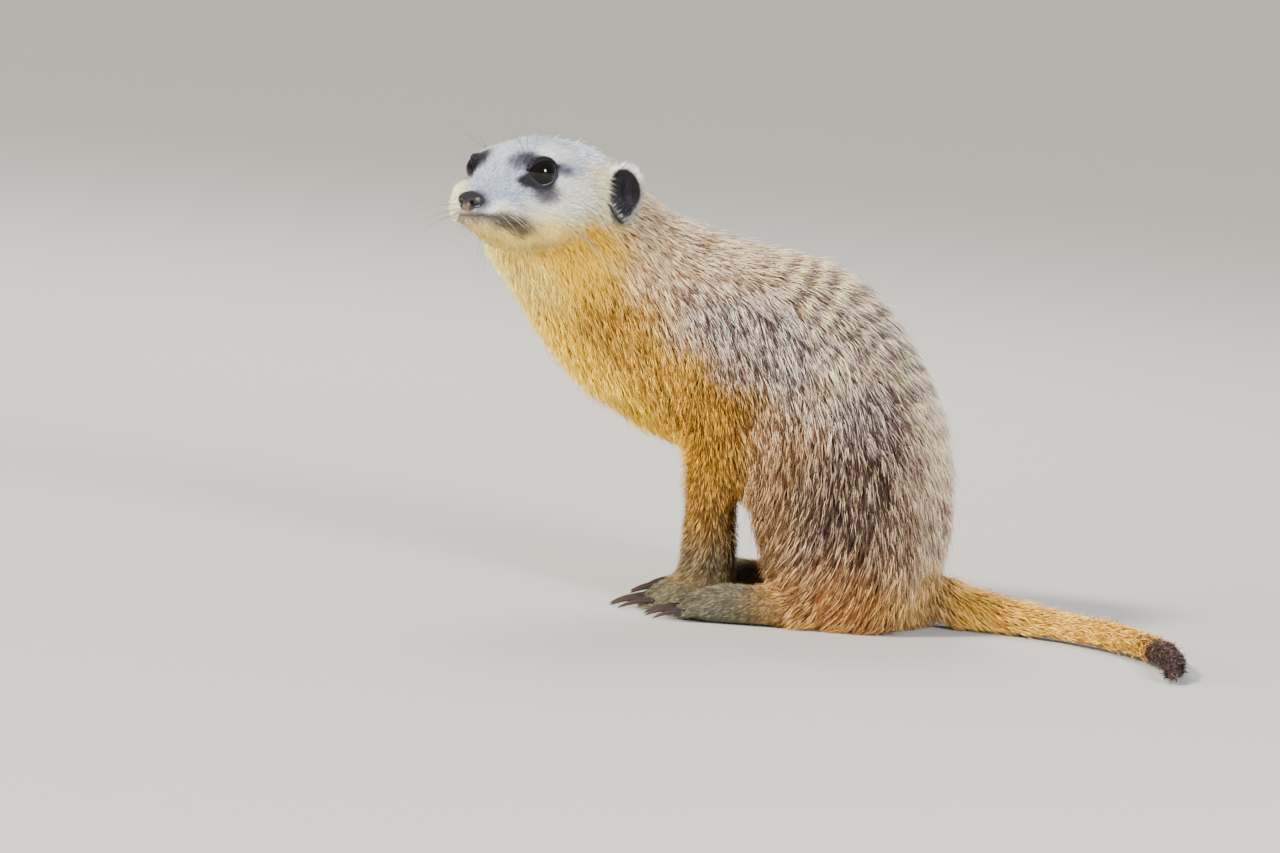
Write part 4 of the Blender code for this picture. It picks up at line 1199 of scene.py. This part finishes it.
def make_ears(skin_material, coat_material):
    for name, side in SIDES.items():
        points, tris, t = ear_shape(side)
        normals = vertex_normals(points, tris)
        add_piece(f"ear_shell_{name}", points, tris, skin_material, EAR_BLACK, "ear", f"ear_{name}")
        ways = along_surface(np.array([[-0.55, -side * 0.35, 0.75]]) @ HEAD_AXES, normals)
        rim = 1 - rise(np.abs(t - 4.9), 0.6, 1.1)
        rear = fall(t, 4.2, 1.5)
        lengths, lifts = 1.7 + 1.9 * rim + 1.5 * rear, 20 + 16 * rim + 12 * rear
        even = np.ones(len(t))
        fields = np.stack([7 + 3 * rim, lengths, 0.25 * even, lifts, 0.1 * even, 0.1 * even], 1)

        def colours(roots):
            paint = Paint(len(roots), "black")
            near = nearest(points, roots)
            above = roots[:, 2] - points[:, 2].mean()
            # painted sheen: purple-grey over the lower part of the black ear
            paint.lay("smoke", (1 - rise(above, -4, 5)) * 0.45)
            paint.lay("white", rim[near] * (0.30 + 0.65 * rise(above, 1, 5)))
            paint.lay("ivory", rear[near] * 0.85)
            return paint

        rng = np.random.default_rng(300 + int(side))
        coat = f"coat_ear_{name}"
        grow(coat, points, tris, normals, ways, fields, coat_material, "ear", rng, paint_of=colours)


# ---- the stage

AIM = np.array([-61.5, 0.0, 64.8])
ELEVATION, ROLL = math.radians(6), math.radians(5)
CAMERA_AWAY = 2500.0
LENS = 190.0
KEY = ((-0.76, -0.60, 0.74), 8.4, math.radians(8), (1.0, 0.93, 0.79))  # way, strength, softness, colour
LIGHTS = (  # place from the aim, size, watts and colour
    ((950, -1350, 620), 520, 58, (0.97, 0.98, 1.0)),
    ((-1250, -850, 260), 600, 48, (1.0, 0.91, 0.72)),
    ((-200, 1100, 1200), 700, 38, (1.0, 0.96, 0.88)),
)
FLOOR_COLOUR = (0.35, 0.348, 0.343, 1.0)
SKY = (0.92, 0.93, 0.94, 1.0)
SKY_STRENGTH = 0.40


def world_place(design):
    return Vector(((np.asarray(design, float) + ORIGIN) * MM).tolist())


def place_lamp(light, from_aim, mirrored_in_eyes):
    lamp = new_object(light.name, light)
    lamp.location = world_place(AIM + np.array(from_aim))
    lamp.rotation_euler = (world_place(AIM) - lamp.location).to_track_quat("-Z", "Y").to_euler()
    lamp.visible_glossy = mirrored_in_eyes


def make_stage():
    bpy.ops.mesh.primitive_plane_add(size=80, location=(0, 0, 0))
    floor = bpy.context.object
    floor.name = "floor"
    material, shader = new_material("floor", Roughness=0.75, Base_Color=FLOOR_COLOUR)
    noise = node(material, "TexNoise", Scale=60.0)
    bump = node(material, "Bump", Strength=0.05)
    wire(material, (noise.outputs["Fac"], bump.inputs["Height"]),
         (bump.outputs["Normal"], shader.inputs["Normal"]))
    floor.data.materials.append(material)
    way, strength, softness, colour = KEY
    key = bpy.data.lights.new("key", "SUN")
    key.energy, key.angle, key.color = strength, softness, colour
    place_lamp(key, way, False)
    for number, (place, size, watts, colour) in enumerate(LIGHTS):
        light = bpy.data.lights.new(f"soft_{number}", "AREA")
        light.shape = "DISK"
        light.energy, light.size, light.color = watts, size * MM, colour
        place_lamp(light, place, number == 0)
    world = bpy.data.worlds.new("studio")
    world.use_nodes = True
    set_inputs(world.node_tree.nodes["Background"], {"Color": SKY, "Strength": SKY_STRENGTH})
    bpy.context.scene.world = world


def make_camera():
    lens = bpy.data.cameras.new("camera")
    lens.lens, lens.sensor_width = LENS, 36.0
    lens.clip_start, lens.clip_end = 0.05, 60.0
    camera = new_object("camera", lens)
    away = np.array([0, -math.cos(ELEVATION), math.sin(ELEVATION)])
    camera.location = world_place(AIM + away * CAMERA_AWAY)
    camera.rotation_mode = "QUATERNION"
    facing = Vector((-away).tolist()).to_track_quat("-Z", "Y")
    camera.rotation_quaternion = facing @ Quaternion((0, 0, 1), ROLL)
    bpy.context.scene.camera = camera


# ---- the animal

skin_points, skin_tris, skin_part, skin_share = make_skin()
lid_points, lid_tris = lids()
lid_part = np.full(len(lid_points), PARTS.index("head"))
points, tris = combined([(skin_points, skin_tris), (lid_points, lid_tris)])
part = np.concatenate([skin_part, lid_part])
share = np.concatenate([skin_share, np.eye(len(PARTS))[lid_part]])
normals = vertex_normals(points, tris)

skin_look, coat_look, eye_look, nose_look, claw_look, hair_look = (painted(*row) for row in LOOKS)

under = markings(points, share)
tones = 0.8 * (under.tones[:, 0] * 0.65 + 0.35 * under.tones[:, 1:].mean(1))
tones[len(skin_points):] = lid_colours(tones[len(skin_points):])
add_piece("skin", points, tris, skin_look, tones, "back", *NODES)
make_coat(points, tris, normals, part, share, coat_look)
make_ears(skin_look, coat_look)
make_eyes(eye_look)
make_nose(nose_look)
make_claws(claw_look)
make_whiskers(hair_look)
make_stage()
make_camera()
